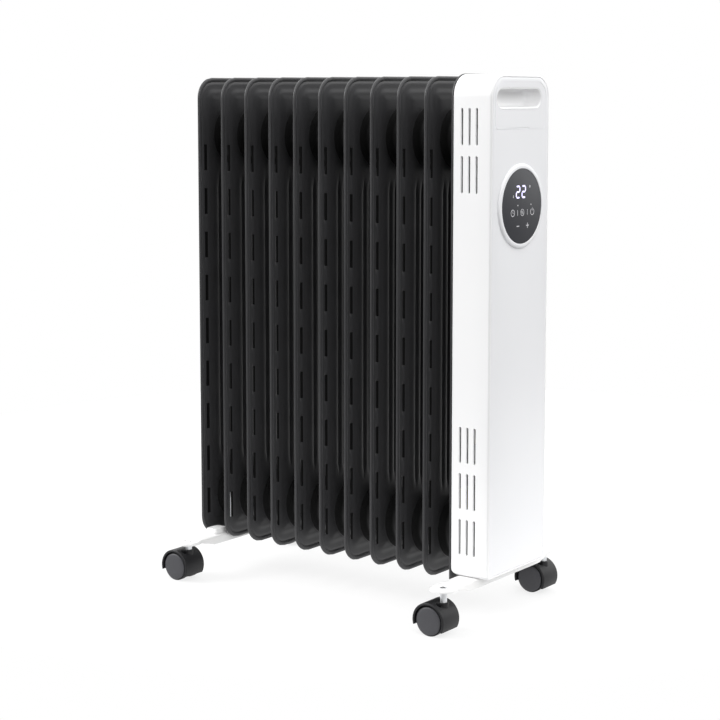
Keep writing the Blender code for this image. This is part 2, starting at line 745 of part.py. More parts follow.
def build_far_foot(white, steel):
    """The foot between the first two fins, with the U-bolt that holds it to the header."""
    foot = foot_blank("foot_far", FAR_FOOT_TOP_Z, white)
    reach = NECK_RADIUS + GAP + BOLT_RADIUS
    for side in (-1, 1):
        middle = SADDLE_Y * side
        rise = [
            (middle - SADDLE_LENGTH / 2, -FOOT_SHEET),
            (middle - SADDLE_LENGTH / 2, SADDLE_LIP),
            (middle - SADDLE_LENGTH / 4, SADDLE_RISE),
            (middle + SADDLE_LENGTH / 4, SADDLE_RISE),
            (middle + SADDLE_LENGTH / 2, SADDLE_LIP),
            (middle + SADDLE_LENGTH / 2, -FOOT_SHEET),
        ]
        join(foot, plate("foot_saddle", rise, -SADDLE_WIDTH / 2, SADDLE_WIDTH / 2, white,
                         (0, 0, FAR_FOOT_TOP_Z)))
        hole = rod("bolt_hole", BOLT_RADIUS + GAP, -CUT_REACH, CUT_REACH, "Z", white,
                   (0, reach * side, FAR_FOOT_TOP_Z))
        cut(foot, hole)
    move_foot(foot, FAR_FOOT_X)
    nut_top = FAR_FOOT_TOP_Z - FOOT_SHEET - GAP
    leg = nut_top - NUT_HEIGHT
    over = arc((0, LOWER_NECK_Z), reach, 0, 180, BEND_STEPS)
    path = [(FAR_FOOT_X, reach, leg)]
    path += [(FAR_FOOT_X, y, z) for y, z in over]
    path += [(FAR_FOOT_X, -reach, leg)]
    tube_path("u_bolt", path, BOLT_RADIUS, steel)
    for name, side in (("front", -reach), ("back", reach)):
        at = (FAR_FOOT_X, side, nut_top)
        nut = rod(f"wing_nut_{name}", NUT_RADIUS, -NUT_HEIGHT, 0, "Z", steel, at)
        wing = box("nut_wings", (-NUT_WING_SPAN / 2, -NUT_WING_THICK / 2, NUT_WING_LOW - NUT_HEIGHT),
                   (NUT_WING_SPAN / 2, NUT_WING_THICK / 2, -NUT_WING_HIGH), steel, at)
        join(nut, wing)
        cut(nut, rod("nut_bore", BOLT_RADIUS + GAP, -CUT_REACH, CUT_REACH, "Z", steel, at))


# Casters

def hood_mesh(material):
    """The hood over both wheels: a curved wall on a middle web, with the stem socket.
    Its origin is on the swivel axis, at floor height."""
    center = (-CASTER_TRAIL, WHEEL_RADIUS)
    inner = WHEEL_RADIUS + HOOD_CLEARANCE
    wall = arc(center, HOOD_RADIUS, HOOD_LOW_ANGLE, HOOD_HIGH_ANGLE, HOOD_STEPS)
    wall += arc(center, inner, HOOD_HIGH_ANGLE, HOOD_LOW_ANGLE, HOOD_STEPS)
    half = CASTER_WIDTH / 2
    hood = loft("hood_blank", [[(x, y, z) for x, z in wall] for y in (-half, half)], material)
    low = HOOD_LOW_ANGLE + WEB_INSET_ANGLE
    high = HOOD_HIGH_ANGLE - WEB_INSET_ANGLE
    web = arc(center, inner + HOOD_WALL / 2, low, high, HOOD_STEPS)
    web += arc(center, AXLE_HUB_RADIUS, high, low + 360, AXLE_HUB_STEPS)
    half = WEB_WIDTH / 2
    join(hood, loft("hood_web", [[(x, y, z) for x, z in web] for y in (-half, half)], material))
    above = WHEEL_RADIUS + HOOD_RADIUS + CUT_REACH
    cut(hood, rod("stem_bore", STEM_RADIUS + RUN_GAP, STEM_BOTTOM_Z - 2 * GAP, above, "Z", material))
    cut(hood, rod("axle_bore", AXLE_RADIUS + RUN_GAP, -CASTER_WIDTH, CASTER_WIDTH, "Y", material,
                  (-CASTER_TRAIL, 0, WHEEL_RADIUS)))
    return baked(hood, "caster_hood")


def wheel_profile():
    """Half section of a wheel: (radius, distance outwards from the caster's middle)."""
    outside = CASTER_WIDTH / 2
    inside = WEB_WIDTH / 2 + RUN_GAP
    pocket = outside - AXLE_END
    bore = AXLE_RADIUS + RUN_GAP
    return [
        (0, outside),
        (WHEEL_RADIUS - WHEEL_EDGE, outside),
        (WHEEL_RADIUS, outside - WHEEL_EDGE),
        (WHEEL_RADIUS, inside),
        (bore, inside),
        (bore, pocket),
        (0, pocket),
    ]


def build_casters(black, gray, steel, zinc):
    hood = hood_mesh(black)
    reach = CASTER_WIDTH / 2 - AXLE_END - GAP
    feet = (("near", NEAR_FOOT_X, NEAR_FOOT_TOP_Z), ("far", FAR_FOOT_X, FAR_FOOT_TOP_Z))
    for foot, x, top in feet:
        for place_name, y in (("front", -STEM_Y), ("back", STEM_Y)):
            name = f"{foot}_{place_name}"
            pivot = bpy.data.objects.new(f"caster_{name}", None)
            pivot.location = (x, y, 0)
            bpy.context.scene.collection.objects.link(pivot)
            collar = top - FOOT_SHEET - GAP
            stem = [
                (0, STEM_BOTTOM_Z),
                (STEM_RADIUS, STEM_BOTTOM_Z),
                (STEM_RADIUS, collar - STEM_COLLAR_HEIGHT),
                (STEM_COLLAR_RADIUS, collar - STEM_COLLAR_HEIGHT),
                (STEM_COLLAR_RADIUS, collar),
                (STEM_RADIUS, collar),
                (STEM_RADIUS, top),
                (0, top),
            ]
            turned(f"stem_{name}", stem, "Z", zinc, (x, y, 0), STEM_STEPS)
            axle_at = (-CASTER_TRAIL, 0, WHEEL_RADIUS)
            inner_side = [(radius, -out) for radius, out in wheel_profile()]
            pieces = [
                place(f"hood_{name}", hood, black, (0, 0, 0)),
                rod(f"axle_{name}", AXLE_RADIUS, -reach, reach, "Y", steel, axle_at),
                turned(f"wheel_{name}_a", inner_side, "Y", gray, axle_at, WHEEL_STEPS),
                turned(f"wheel_{name}_b", wheel_profile(), "Y", gray, axle_at, WHEEL_STEPS),
            ]
            for piece in pieces:
                piece.parent = pivot


def build():
    clear_scene()
    black_paint = finish("black_paint", (0.016, 0.016, 0.017), 0.42)
    white = finish("white_shell", (0.86, 0.86, 0.87), 0.38)
    glass = finish("panel_glass", (0.07, 0.07, 0.08), 0.15)
    caster_black = finish("caster_black", (0.03, 0.03, 0.032), 0.45)
    wheel_gray = finish("wheel_gray", (0.12, 0.12, 0.13), 0.5)
    steel = finish("plain_steel", (0.55, 0.55, 0.56), 0.35, 1.0)
    zinc = finish("zinc_plate", (0.75, 0.76, 0.78), 0.3, 1.0)
    rubber = finish("black_rubber", (0.02, 0.02, 0.02), 0.8)
    board = finish("circuit_board", (0.02, 0.16, 0.07), 0.5)
    dark = finish("dark_plastic", (0.03, 0.03, 0.03), 0.4)
    beige = finish("heat_plastic", (0.6, 0.55, 0.45), 0.5)
    brass = finish("brass", (0.72, 0.5, 0.2), 0.3, 1.0)
    build_fins(black_paint)
    build_headers(black_paint)
    build_element(steel, rubber)
    build_shield(black_paint)
    build_shell(white)
    build_cover(white)
    build_grip(white)
    build_panel(white, glass, board, dark)
    build_electronics(board, beige, dark, steel, brass)
    build_tilt_switch(beige, brass)
    build_gland(rubber)
    build_near_foot(white, steel)
    build_far_foot(white, steel)
    build_casters(caster_black, wheel_gray, steel, zinc)


build()
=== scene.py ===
import math

import bmesh
import bpy
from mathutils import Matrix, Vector


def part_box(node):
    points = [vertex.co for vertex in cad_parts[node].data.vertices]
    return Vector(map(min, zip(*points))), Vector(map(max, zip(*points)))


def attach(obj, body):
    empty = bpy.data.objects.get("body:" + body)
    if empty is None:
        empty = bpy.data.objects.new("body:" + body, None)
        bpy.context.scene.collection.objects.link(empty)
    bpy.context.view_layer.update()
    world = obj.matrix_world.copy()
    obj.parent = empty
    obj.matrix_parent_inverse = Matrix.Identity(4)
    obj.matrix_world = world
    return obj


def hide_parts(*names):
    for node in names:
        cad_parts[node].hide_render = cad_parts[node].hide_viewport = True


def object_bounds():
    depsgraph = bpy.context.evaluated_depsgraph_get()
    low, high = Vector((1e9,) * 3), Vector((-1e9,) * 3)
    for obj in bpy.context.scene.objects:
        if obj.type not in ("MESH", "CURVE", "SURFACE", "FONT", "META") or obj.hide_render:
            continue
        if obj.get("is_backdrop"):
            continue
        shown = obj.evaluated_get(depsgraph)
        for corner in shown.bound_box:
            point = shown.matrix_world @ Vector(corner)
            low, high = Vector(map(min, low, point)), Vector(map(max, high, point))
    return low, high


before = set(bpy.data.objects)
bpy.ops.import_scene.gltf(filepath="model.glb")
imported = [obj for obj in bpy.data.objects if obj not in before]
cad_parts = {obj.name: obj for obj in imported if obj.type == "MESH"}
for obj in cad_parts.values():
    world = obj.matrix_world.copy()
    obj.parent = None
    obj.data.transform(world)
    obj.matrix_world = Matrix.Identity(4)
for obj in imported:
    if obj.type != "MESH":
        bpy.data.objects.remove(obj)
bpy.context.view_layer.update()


# Studio. A white floor under a soft ceiling of light that comes down behind the heater, a
# large lamp from the front left, a dimmer one from the front right, and a long lens.
MM = 0.001
CAMERA_AT = (1.2747, -1.7234, 0.6148)
CAMERA_TURN = 36.616
CAMERA_DIP = 6.314
CAMERA_LENS = 86.92
CAMERA_SHIFT = -0.10
FLOOR_RADIUS = 0.95
FLOOR_MIDDLE = (-0.30, 0.50)
FLOOR_SIDES = 96
CEILING_WAY = (0, 0.42, 0.908)
CEILING_START = 0.20
CEILING_FULL = 0.60
CEILING_LIGHT = 1.95
HORIZON_LIGHT = 0.04
BACKDROP_LIGHT = 1.0
CLOUD_SIZE = 1 / 3
TABLE_GLOW = 0.78
LAMP_AIM = (0.1, 0, 0.35)
LAMPS = (("key_lamp", (-3.2, -2.6, 2.4), 2.2, 205), ("side_lamp", (2.8, -1.8, 1.7), 1.8, 57))


def linear(hex_color):
    """An sRGB hex colour as the linear values that a shader takes."""
    shares = [int(hex_color[i:i + 2], 16) / 255 for i in (1, 3, 5)]
    return (*[s / 12.92 if s <= 0.04045 else ((s + 0.055) / 1.055) ** 2.4 for s in shares], 1)


def add_node(tree, kind, settings=(), links=()):
    """Adds a node. Settings name its properties or its input sockets, links its sockets."""
    made = tree.nodes.new(kind)
    for name, value in dict(settings).items():
        if isinstance(name, int) or name in made.inputs:
            made.inputs[name].default_value = value
        else:
            setattr(made, name, value)
    for name, source in dict(links).items():
        tree.links.new(source, made.inputs[name])
    return made


def new_material(name):
    """A node material with an empty tree, and that tree."""
    made = bpy.data.materials.new(name)
    made.use_nodes = True
    made.node_tree.nodes.clear()
    return made, made.node_tree


# A texture's node, its output, and the one setting that a pattern gives besides its size.
NOISE = ("ShaderNodeTexNoise", "Fac", "Detail")


def new_finish(name, tones, pattern, sockets, gloss=None, bump=None, glows=False):
    """A material in two tones over a pattern, which is a texture, a size and a setting. Gloss
    is a least and most roughness and bump a strength and depth, each with its pattern."""
    made, tree = new_material(name)
    where = add_node(tree, "ShaderNodeTexCoord")
    drawn = {}
    for wanted in (pattern, gloss and gloss[2], bump and bump[2]):
        if wanted and wanted not in drawn:
            (kind, output, setting), size, value = wanted
            texture = add_node(tree, kind, {"Scale": 1 / size, setting: value},
                               {"Vector": where.outputs["Object"]})
            drawn[wanted] = texture.outputs[output]
    tone = add_node(tree, "ShaderNodeMixRGB", {"Color1": linear(tones[0]), "Color2": linear(tones[1])},
                    {"Fac": drawn[pattern]})
    links = {"Base Color": tone.outputs["Color"]}
    if gloss:
        rough = add_node(tree, "ShaderNodeMapRange", {"To Min": gloss[0], "To Max": gloss[1]},
                         {"Value": drawn[gloss[2]]})
        links["Roughness"] = rough.outputs["Result"]
    if bump:
        relief = add_node(tree, "ShaderNodeBump", {"Strength": bump[0], "Distance": bump[1]},
                          {"Height": drawn[bump[2]]})
        links["Normal"] = relief.outputs["Normal"]
    if glows:
        links["Emission Color"] = tone.outputs["Color"]
    shader = add_node(tree, "ShaderNodeBsdfPrincipled", sockets, links)
    add_node(tree, "ShaderNodeOutputMaterial", {}, {"Surface": shader.outputs["BSDF"]})
    return made


camera = bpy.data.objects.new("camera", bpy.data.cameras.new("camera"))
camera.location = CAMERA_AT
camera.rotation_euler = (math.radians(90 - CAMERA_DIP), 0, math.radians(CAMERA_TURN))
camera.data.lens = CAMERA_LENS
camera.data.shift_y = CAMERA_SHIFT
bpy.context.scene.collection.objects.link(camera)
bpy.context.scene.camera = camera

# Light fades from the ceiling to the horizon, and the eye sees an even white backdrop.
world = bpy.data.worlds.new("light_ceiling")
world.use_nodes = True
tree = world.node_tree
tree.nodes.clear()
where = add_node(tree, "ShaderNodeTexCoord")
height = add_node(tree, "ShaderNodeVectorMath", {"operation": "DOT_PRODUCT", 1: CEILING_WAY},
                  {0: where.outputs["Generated"]})
ceiling = add_node(tree, "ShaderNodeMapRange",
                   {"interpolation_type": "SMOOTHSTEP", "From Min": CEILING_START, "From Max": CEILING_FULL,
                    "To Min": HORIZON_LIGHT, "To Max": CEILING_LIGHT}, {"Value": height.outputs["Value"]})
eye = add_node(tree, "ShaderNodeLightPath")
light = add_node(tree, "ShaderNodeBackground", {"Color": linear("#FFFFFF")},
                 {"Strength": ceiling.outputs["Result"]})
backdrop = add_node(tree, "ShaderNodeBackground", {"Color": linear("#FFFFFF"), "Strength": BACKDROP_LIGHT})
seen = add_node(tree, "ShaderNodeMixShader", {},
                {0: eye.outputs["Is Camera Ray"], 1: light.outputs["Background"],
                 2: backdrop.outputs["Background"]})
add_node(tree, "ShaderNodeOutputWorld", {}, {"Surface": seen.outputs["Shader"]})
bpy.context.scene.world = world
bpy.context.scene.view_settings.view_transform = "Standard"

for name, place, size, power in LAMPS:
    lamp = bpy.data.objects.new(name, bpy.data.lights.new(name, "AREA"))
    lamp.data.shape = "SQUARE"
    lamp.data.size = size
    lamp.data.energy = power
    lamp.location = place
    lamp.rotation_euler = (Vector(LAMP_AIM) - Vector(place)).to_track_quat("-Z", "Y").to_euler()
    bpy.context.scene.collection.objects.link(lamp)

# Matt white acrylic, lit from below as a product table is, so shadows on it are faint.
board_paint = new_finish("lit_table_acrylic", ("#747474", "#787878"), (NOISE, CLOUD_SIZE, 2.0),
                         {"Roughness": 0.9, "Specular IOR Level": 0.0,
                          "Emission Color": linear("#FFFFFF"), "Emission Strength": TABLE_GLOW})
floor_mesh = bpy.data.meshes.new("studio_floor")
turns = [2 * math.pi * i / FLOOR_SIDES for i in range(FLOOR_SIDES)]
floor_rim = [(FLOOR_MIDDLE[0] + FLOOR_RADIUS * math.cos(a), FLOOR_MIDDLE[1] + FLOOR_RADIUS * math.sin(a), 0)
             for a in turns]
floor_mesh.from_pydata(floor_rim, [], [tuple(range(FLOOR_SIDES))])
floor_mesh.materials.append(board_paint)
floor = bpy.data.objects.new("studio_floor", floor_mesh)
bpy.context.scene.collection.objects.link(floor)
floor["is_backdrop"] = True


# Fins. Each is two sheets of pressed steel welded together, with oil in the raised panel
# between them. The rim is rolled over, air slots are pierced along both long edges, and
# the round hubs are pressed out until they meet the next fin's and are welded to them.
FIN_COUNT = 10
RIM_PROFILE = [(0.12, 0.7), (0.4, 1.25), (0.9, 1.65), (1.6, 1.9), (3.8, 1.9), (4.4, 1.5), (4.9, 0.9),
               (5.5, 0.5), (6.4, 0.75)]
FLANGE_HALF = 1.25 * MM
FIN_CORNER = 26 * MM
PANEL_PROFILE = [(14.6, 1.35), (16.2, 1.65), (17.8, 2.0)]
PANEL_INSET = 19.5 * MM
PANEL_EDGE_HALF = 2.3 * MM
PANEL_EDGE_RUN = 12 * MM
PANEL_HALF = 3.5 * MM
FLANGE_INSETS = (7.6, 9.2)
SLOT_INSETS = (10.0, 11.5, 13.0)
SLOT_FIRST = 28.5 * MM
SLOT_LENGTH = 33 * MM
SLOT_PITCH = 55.9 * MM
SLOT_COUNT = 9
SLOT_BEAD = 0.3 * MM
SLOT_HALF = 0.45 * MM
BLIND_SLOT_HALF = 0.12 * MM
BEAD_MARGIN = 5 * MM
VALLEYS = (6, 17, 28)
VALLEY_HALF = 2.6 * MM
VALLEY_DEPTH = 1.5 * MM
VALLEY_END = 46 * MM
VALLEY_RUN = 22 * MM
HUB_ROOT = 37 * MM
HUB_TOP = 27.5 * MM
HUB_STEPS = 9
# Distances from a hub's axis over which the painted shade round it fades in, and then out again.
HUB_SHADE_START = (32.5 * MM, 36 * MM)
HUB_SHADE_END = (37.2 * MM, 38.4 * MM)
WELD_GAP = 0.05 * MM
WELD_BEAD = 0.9 * MM
SMOOTH_ANGLE = 34
ROUND_STEPS = 72


def mesh_of(name, shape):
    """Turns a bmesh into a mesh with its faces outward."""
    bmesh.ops.recalc_face_normals(shape, faces=shape.faces[:])
    mesh = bpy.data.meshes.new(name)
    shape.to_mesh(mesh)
    shape.free()
    return mesh


def give_surface(mesh, *materials):
    """Gives a mesh its materials and smooth shading with sharp corners."""
    for material in materials:
        mesh.materials.append(material)
    mesh.shade_smooth()
    mesh.set_sharp_from_angle(angle=math.radians(SMOOTH_ANGLE))


def shown(name, shape, material, body, replaced=()):
    """Turns a bmesh into a smooth shaded object that rides on a body."""
    return shown_mesh(name, mesh_of(name, shape), material, body, replaced)


def shown_mesh(name, mesh, material, body, replaced=(), at=(0, 0, 0)):
    """Shows a mesh, which like pieces may share, as an object that rides on a body."""
    if not mesh.materials:
        give_surface(mesh, material)
    made = bpy.data.objects.new(name, mesh)
    made.location = at
    bpy.context.scene.collection.objects.link(made)
    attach(made, body)
    if replaced:
        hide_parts(*replaced)
    return made


def bridge(shape, loops):
    """Joins each loop of vertices to the next by a band of faces."""
    for first, second in zip(loops, loops[1:]):
        for i in range(len(first)):
            j = (i + 1) % len(first)
            shape.faces.new((first[i], first[j], second[j], second[i]))


def add_skin(shape, rings, closed=False):
    """Skins rings of equal length. A closed skin runs back to its first ring, and an open
    one is capped at both ends."""
    loops = [[shape.verts.new(point) for point in ring] for ring in rings]
    bridge(shape, loops + loops[:1] if closed else loops)
    if not closed:
        shape.faces.new(loops[0])
        shape.faces.new(loops[-1])


AXES = {"X": ((0, 1, 0), (0, 0, 1), (1, 0, 0)), "Y": ((0, 0, 1), (1, 0, 0), (0, 1, 0)),
        "Z": ((1, 0, 0), (0, 1, 0), (0, 0, 1))}


def add_turned(shape, profile, center, axis, steps=ROUND_STEPS):
    """Turns a profile of (radius, distance along the axis) that starts and ends on the axis."""
    across, up, along = (Vector(v) for v in AXES[axis])
    center = Vector(center)
    angles = [2 * math.pi * i / steps for i in range(steps)]
    rings = [[center + along * far + radius * (across * math.cos(a) + up * math.sin(a)) for a in angles]
             for radius, far in profile if radius > 0]
    loops = [[shape.verts.new(point) for point in ring] for ring in rings]
    bridge(shape, loops)
    for loop, (radius, far) in ((loops[0], profile[0]), (loops[-1], profile[-1])):
        tip = shape.verts.new(center + along * far)
        for i in range(steps):
            shape.faces.new((tip, loop[i], loop[(i + 1) % steps]))


def add_ring(shape, profile, center, axis, steps=ROUND_STEPS):
    """Turns a closed profile of (radius, distance along the axis) that stays off the axis."""
    across, up, along = (Vector(v) for v in AXES[axis])
    center = Vector(center)
    rings = []
    for i in range(steps):
        a = 2 * math.pi * i / steps
        outward = across * math.cos(a) + up * math.sin(a)
        rings.append([center + along * far + outward * radius for radius, far in profile])
    add_skin(shape, rings, closed=True)


def arc(center, radius, start, end, steps):
    """Points in a plane along an arc, angles in degrees."""
    angles = [math.radians(start + (end - start) * i / steps) for i in range(steps + 1)]
    return [(center[0] + radius * math.cos(a), center[1] + radius * math.sin(a)) for a in angles]


fin_low, fin_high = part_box("fin_01")
fin_half = (fin_high.y - fin_low.y) / 2
fin_height = fin_high.z - fin_low.z
hubs = [(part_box(node)[0].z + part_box(node)[1].z) / 2 for node in ("lower_header", "upper_header")]

PEEL = 2.0 * MM

# Black powder coat, cured polyester sprayed over pressed steel: a soft gloss with a faint
# orange peel. The real peel is about 1 mm and is drawn at 2 mm.
peel = (NOISE, PEEL, 1.5)
black_coat, fin_coat = [
    new_finish(name, ("#313132", "#3A3A3C"), (NOISE, 45 * MM, 3.0), {"IOR": 1.5},
               gloss=(0.40, 0.50, peel), bump=(0.25, 0.06 * MM, peel))
    for name in ("black_powder_coat", "black_powder_coat_on_fins")]

# On the fins a painted shade darkens the crease round each hub and makes it matt: a near-black colour and full
# roughness in a ring about each hub.
tree = fin_coat.node_tree
shader = tree.nodes["Principled BSDF"]
tone, gloss = [shader.inputs[name].links[0].from_socket for name in ("Base Color", "Roughness")]
flat = add_node(tree, "ShaderNodeVectorMath", {"operation": "MULTIPLY", 1: (0, 1, 1)},
                {0: tree.nodes["Texture Coordinate"].outputs["Object"]})
off_low, off_high = [
    add_node(tree, "ShaderNodeVectorMath", {"operation": "DISTANCE", 1: (0, 0, hub - fin_low.z)},
             {0: flat.outputs["Vector"]}) for hub in hubs]
off_hub = add_node(tree, "ShaderNodeMath", {"operation": "MINIMUM"},
                   {0: off_low.outputs["Value"], 1: off_high.outputs["Value"]})
neck = add_node(tree, "ShaderNodeMapRange",
                {"interpolation_type": "SMOOTHSTEP", "From Min": HUB_SHADE_START[0],
                 "From Max": HUB_SHADE_START[1]},
                {"Value": off_hub.outputs["Value"]})
panel = add_node(tree, "ShaderNodeMapRange",
                 {"From Min": HUB_SHADE_END[0], "From Max": HUB_SHADE_END[1], "To Min": 1.0, "To Max": 0.0},
                 {"Value": off_hub.outputs["Value"]})
hub_shade = add_node(tree, "ShaderNodeMath", {"operation": "MULTIPLY"},
                  {0: neck.outputs["Result"], 1: panel.outputs["Result"]})
# Painted shade: near-black in the ring round each hub.
hub_painted_shade = add_node(tree, "ShaderNodeMixRGB", {"Color2": linear("#060606")},
                {"Fac": hub_shade.outputs["Value"], "Color1": tone})
dull = add_node(tree, "ShaderNodeMath", {"operation": "MAXIMUM"}, {0: hub_shade.outputs["Value"], 1: gloss})
tree.links.new(hub_painted_shade.outputs["Color"], shader.inputs["Base Color"])
tree.links.new(dull.outputs["Value"], shader.inputs["Roughness"])

# Painted shade for the air slots: a near-black matt colour on the faces inside the slots, which lie in shade.
slot_shade = new_finish("slot_painted_shade", ("#0B0B0B", "#121212"), (NOISE, 3 * MM, 2.0),
                    {"IOR": 1.45, "Roughness": 0.9, "Specular IOR Level": 0.1})

fin_x = [(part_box(f"fin_{i + 1:02d}")[0].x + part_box(f"fin_{i + 1:02d}")[1].x) / 2 for i in range(FIN_COUNT)]
fin_reach = (fin_x[1] - fin_x[0]) / 2
slot_starts = [SLOT_FIRST + i * SLOT_PITCH for i in range(SLOT_COUNT)]


def distinct(values, least):
    """Sorted values without any that follows closer than a least distance."""
    kept = []
    for value in sorted(values):
        if not kept or value - kept[-1] > least:
            kept.append(value)
    return kept


def panel_lines():
    """The across and the upright grid lines of the oil panel, from the fin's bottom middle."""
    half = fin_half - PANEL_INSET
    corner = FIN_CORNER - PANEL_INSET
    across = [0, half, half - 1.5 * MM, half - 3.2 * MM, half - corner, half - 9 * MM]
    across += [valley * MM + k * VALLEY_HALF / 2 for valley in VALLEYS for k in (-2, -1, 0, 1, 2)]
    across += [-y for y in across]
    low = PANEL_INSET
    high = fin_height - PANEL_INSET
    corner_steps = [corner * i / 5 for i in range(6)]
    upright = [low + step for step in corner_steps] + [high - step for step in corner_steps]
    for start in slot_starts:
        end = start + SLOT_LENGTH
        upright += [start - 2 * MM, start, start + 2 * MM, end - 2 * MM, end, end + 2 * MM]
        upright += [end + BEAD_MARGIN, end + BEAD_MARGIN + 2 * MM,
                    start - BEAD_MARGIN, start - BEAD_MARGIN - 2 * MM]
    for hub, sign in ((hubs[0], 1), (hubs[1], -1)):
        upright += [hub - fin_low.z + sign * (VALLEY_END + VALLEY_RUN * i / 6) for i in range(7)]
    upright += [low + corner + 2 * MM, high - corner - 2 * MM]
    inside = [z for z in upright if low <= z <= high]
    return distinct(across, 0.1 * MM), distinct(inside, 0.1 * MM)


def eased(share):
    share = min(max(share, 0), 1)
    return share * share * (3 - 2 * share)


def panel_half_thickness(y, z):
    """The oil panel swells from its edge. It is flat near the hubs, and between them it is
    pressed in along valleys."""
    half = fin_half - PANEL_INSET
    inside = min(half - abs(y), z - PANEL_INSET, fin_height - PANEL_INSET - z)
    swell = PANEL_EDGE_HALF + (PANEL_HALF - PANEL_EDGE_HALF) * eased(inside / PANEL_EDGE_RUN)
    from_hubs = min(z - (hubs[0] - fin_low.z), (hubs[1] - fin_low.z) - z)
    run = eased((from_hubs - VALLEY_END) / VALLEY_RUN)
    nearest = min(abs(abs(y) - valley * MM) for valley in VALLEYS)
    return swell - VALLEY_DEPTH * run * (1 - eased(nearest / VALLEY_HALF))


def rounded(y, z, low, high, half, corner):
    """Moves a grid point of a rectangle to its place in the rectangle with round corners,
    and gives the way out of the rectangle there."""
    side = 1 if y > 0 else -1
    up = 1 if z > (low + high) / 2 else -1
    center_y = (half - corner) * side
    center_z = high - corner if up > 0 else low + corner
    u = (y - center_y) / corner * side
    v = (z - center_z) / corner * up
    if u <= 0 or v <= 0:
        return y, z, (side, 0) if u > 0.999 else (0, up)
    placed = (u * math.sqrt(1 - v * v / 2), v * math.sqrt(1 - u * u / 2))
    length = math.hypot(*placed)
    return (center_y + placed[0] * corner * side, center_z + placed[1] * corner * up,
            (placed[0] / length * side, placed[1] / length * up))


def in_slot(z):
    return any(start <= z <= start + SLOT_LENGTH for start in slot_starts)


def in_bead(z):
    """True between two slots of a column, clear of both."""
    for start in slot_starts[:-1]:
        low = start + SLOT_LENGTH + BEAD_MARGIN + MM
        if low <= z <= start + SLOT_PITCH - BEAD_MARGIN - MM:
            return True
    return False


def add_fin_sheets(shape, blind):
    """Both sheets of a fin, closed round the rim. The sheets are coined thin at the slots,
    which pierce them but for the end fin, where they are pressed in and left blind."""
    across, upright = panel_lines()
    slot_insets = [d * MM for d in SLOT_INSETS]
    low, high = upright[0], upright[-1]
    half = across[-1]
    corner = FIN_CORNER - PANEL_INSET
    rings = [(d * MM, h * MM) for d, h in RIM_PROFILE]
    rings += [(d * MM, FLANGE_HALF) for d in FLANGE_INSETS + SLOT_INSETS]
    rings += [(d * MM, h * MM) for d, h in PANEL_PROFILE]
    border = [(y, low) for y in across[:-1]] + [(half, z) for z in upright[:-1]]
    border += [(y, high) for y in reversed(across[1:])] + [(-half, z) for z in reversed(upright[1:])]
    placed = [rounded(y, z, low, high, half, corner) for y, z in border]
    count = len(border)
    on_side = [abs(abs(y) - half) < 1e-6 and low + corner < z < high - corner for y, z in border]
    edge = [shape.verts.new((0, y + n[0] * PANEL_INSET, z + n[1] * PANEL_INSET)) for y, z, n in placed]
    walls = {}
    for side in (1, -1):
        loops = [edge]
        for inset, thick in rings:
            loop = []
            for j, (y, z, n) in enumerate(placed):
                lift = 0
                if on_side[j] and inset in slot_insets and in_slot(z):
                    lift = (BLIND_SLOT_HALF if blind else SLOT_HALF) - FLANGE_HALF
                elif on_side[j] and inset == slot_insets[1] and in_bead(z):
                    lift = SLOT_BEAD
                out = PANEL_INSET - inset
                loop.append(shape.verts.new((side * (thick + lift), y + n[0] * out, z + n[1] * out)))
            loops.append(loop)
        grid = {}
        for y in across:
            for z in upright:
                gy, gz, _ = rounded(y, z, low, high, half, corner)
                grid[y, z] = shape.verts.new((side * panel_half_thickness(y, z), gy, gz))
        loops.append([grid[point] for point in border])
        slot_rings = [i + 1 for i, (inset, _) in enumerate(rings) if inset in slot_insets]
        for k, (outer, inner) in enumerate(zip(loops, loops[1:])):
            for j in range(count):
                after = (j + 1) % count
                middle = (border[j][1] + border[after][1]) / 2
                pierced = not blind and on_side[j] and on_side[after] and in_slot(middle)
                if pierced and k in slot_rings[:2]:
                    continue
                face = shape.faces.new((outer[j], outer[after], inner[after], inner[j]))
                # Faces inside the slots, and the floors of the end fin's blind slots, take the painted slot
                # shade.
                if k in slot_rings and on_side[j] and on_side[after] and in_slot(middle):
                    face.material_index = 1
        for y, next_y in zip(across, across[1:]):
            for z, next_z in zip(upright, upright[1:]):
                shape.faces.new((grid[y, z], grid[next_y, z], grid[next_y, next_z], grid[y, next_z]))
        walls[side] = [loops[i] for i in slot_rings]
    if blind:
        return
    # The walls through the pierced slots take the painted slot shade too.
    for j in range(count):
        after = (j + 1) % count
        if on_side[j] and on_side[after] and in_slot((border[j][1] + border[after][1]) / 2):
            for k in (0, 2):
                front, back = walls[1][k], walls[-1][k]
                shape.faces.new((front[j], front[after], back[after], back[j])).material_index = 1
    for j in range(count):
        before, after = (j - 1) % count, (j + 1) % count
        ends = on_side[j] and in_slot((border[j][1] + border[after][1]) / 2) != in_slot(
            (border[j][1] + border[before][1]) / 2)
        if ends:
            for k in (0, 1):
                front, back = walls[1], walls[-1]
                shape.faces.new((front[k][j], front[k + 1][j], back[k + 1][j], back[k][j]))


def hub_profile(reach):
    """A hub from its steep root on the panel, round its shoulder, up to the weld."""
    start = PANEL_HALF + 0.6 * MM
    profile = [(HUB_ROOT + 1.2 * MM, 0), (HUB_ROOT + 1.2 * MM, PANEL_HALF - 0.1 * MM),
               (HUB_ROOT + 0.5 * MM, PANEL_HALF + 0.1 * MM)]
    for i in range(HUB_STEPS + 1):
        turn = math.radians(90 * i / HUB_STEPS)
        profile.append((HUB_TOP + (HUB_ROOT - HUB_TOP) * math.cos(turn),
                        start + (reach - WELD_GAP - start) * math.sin(turn)))
    return profile + [(0, reach - WELD_GAP)]


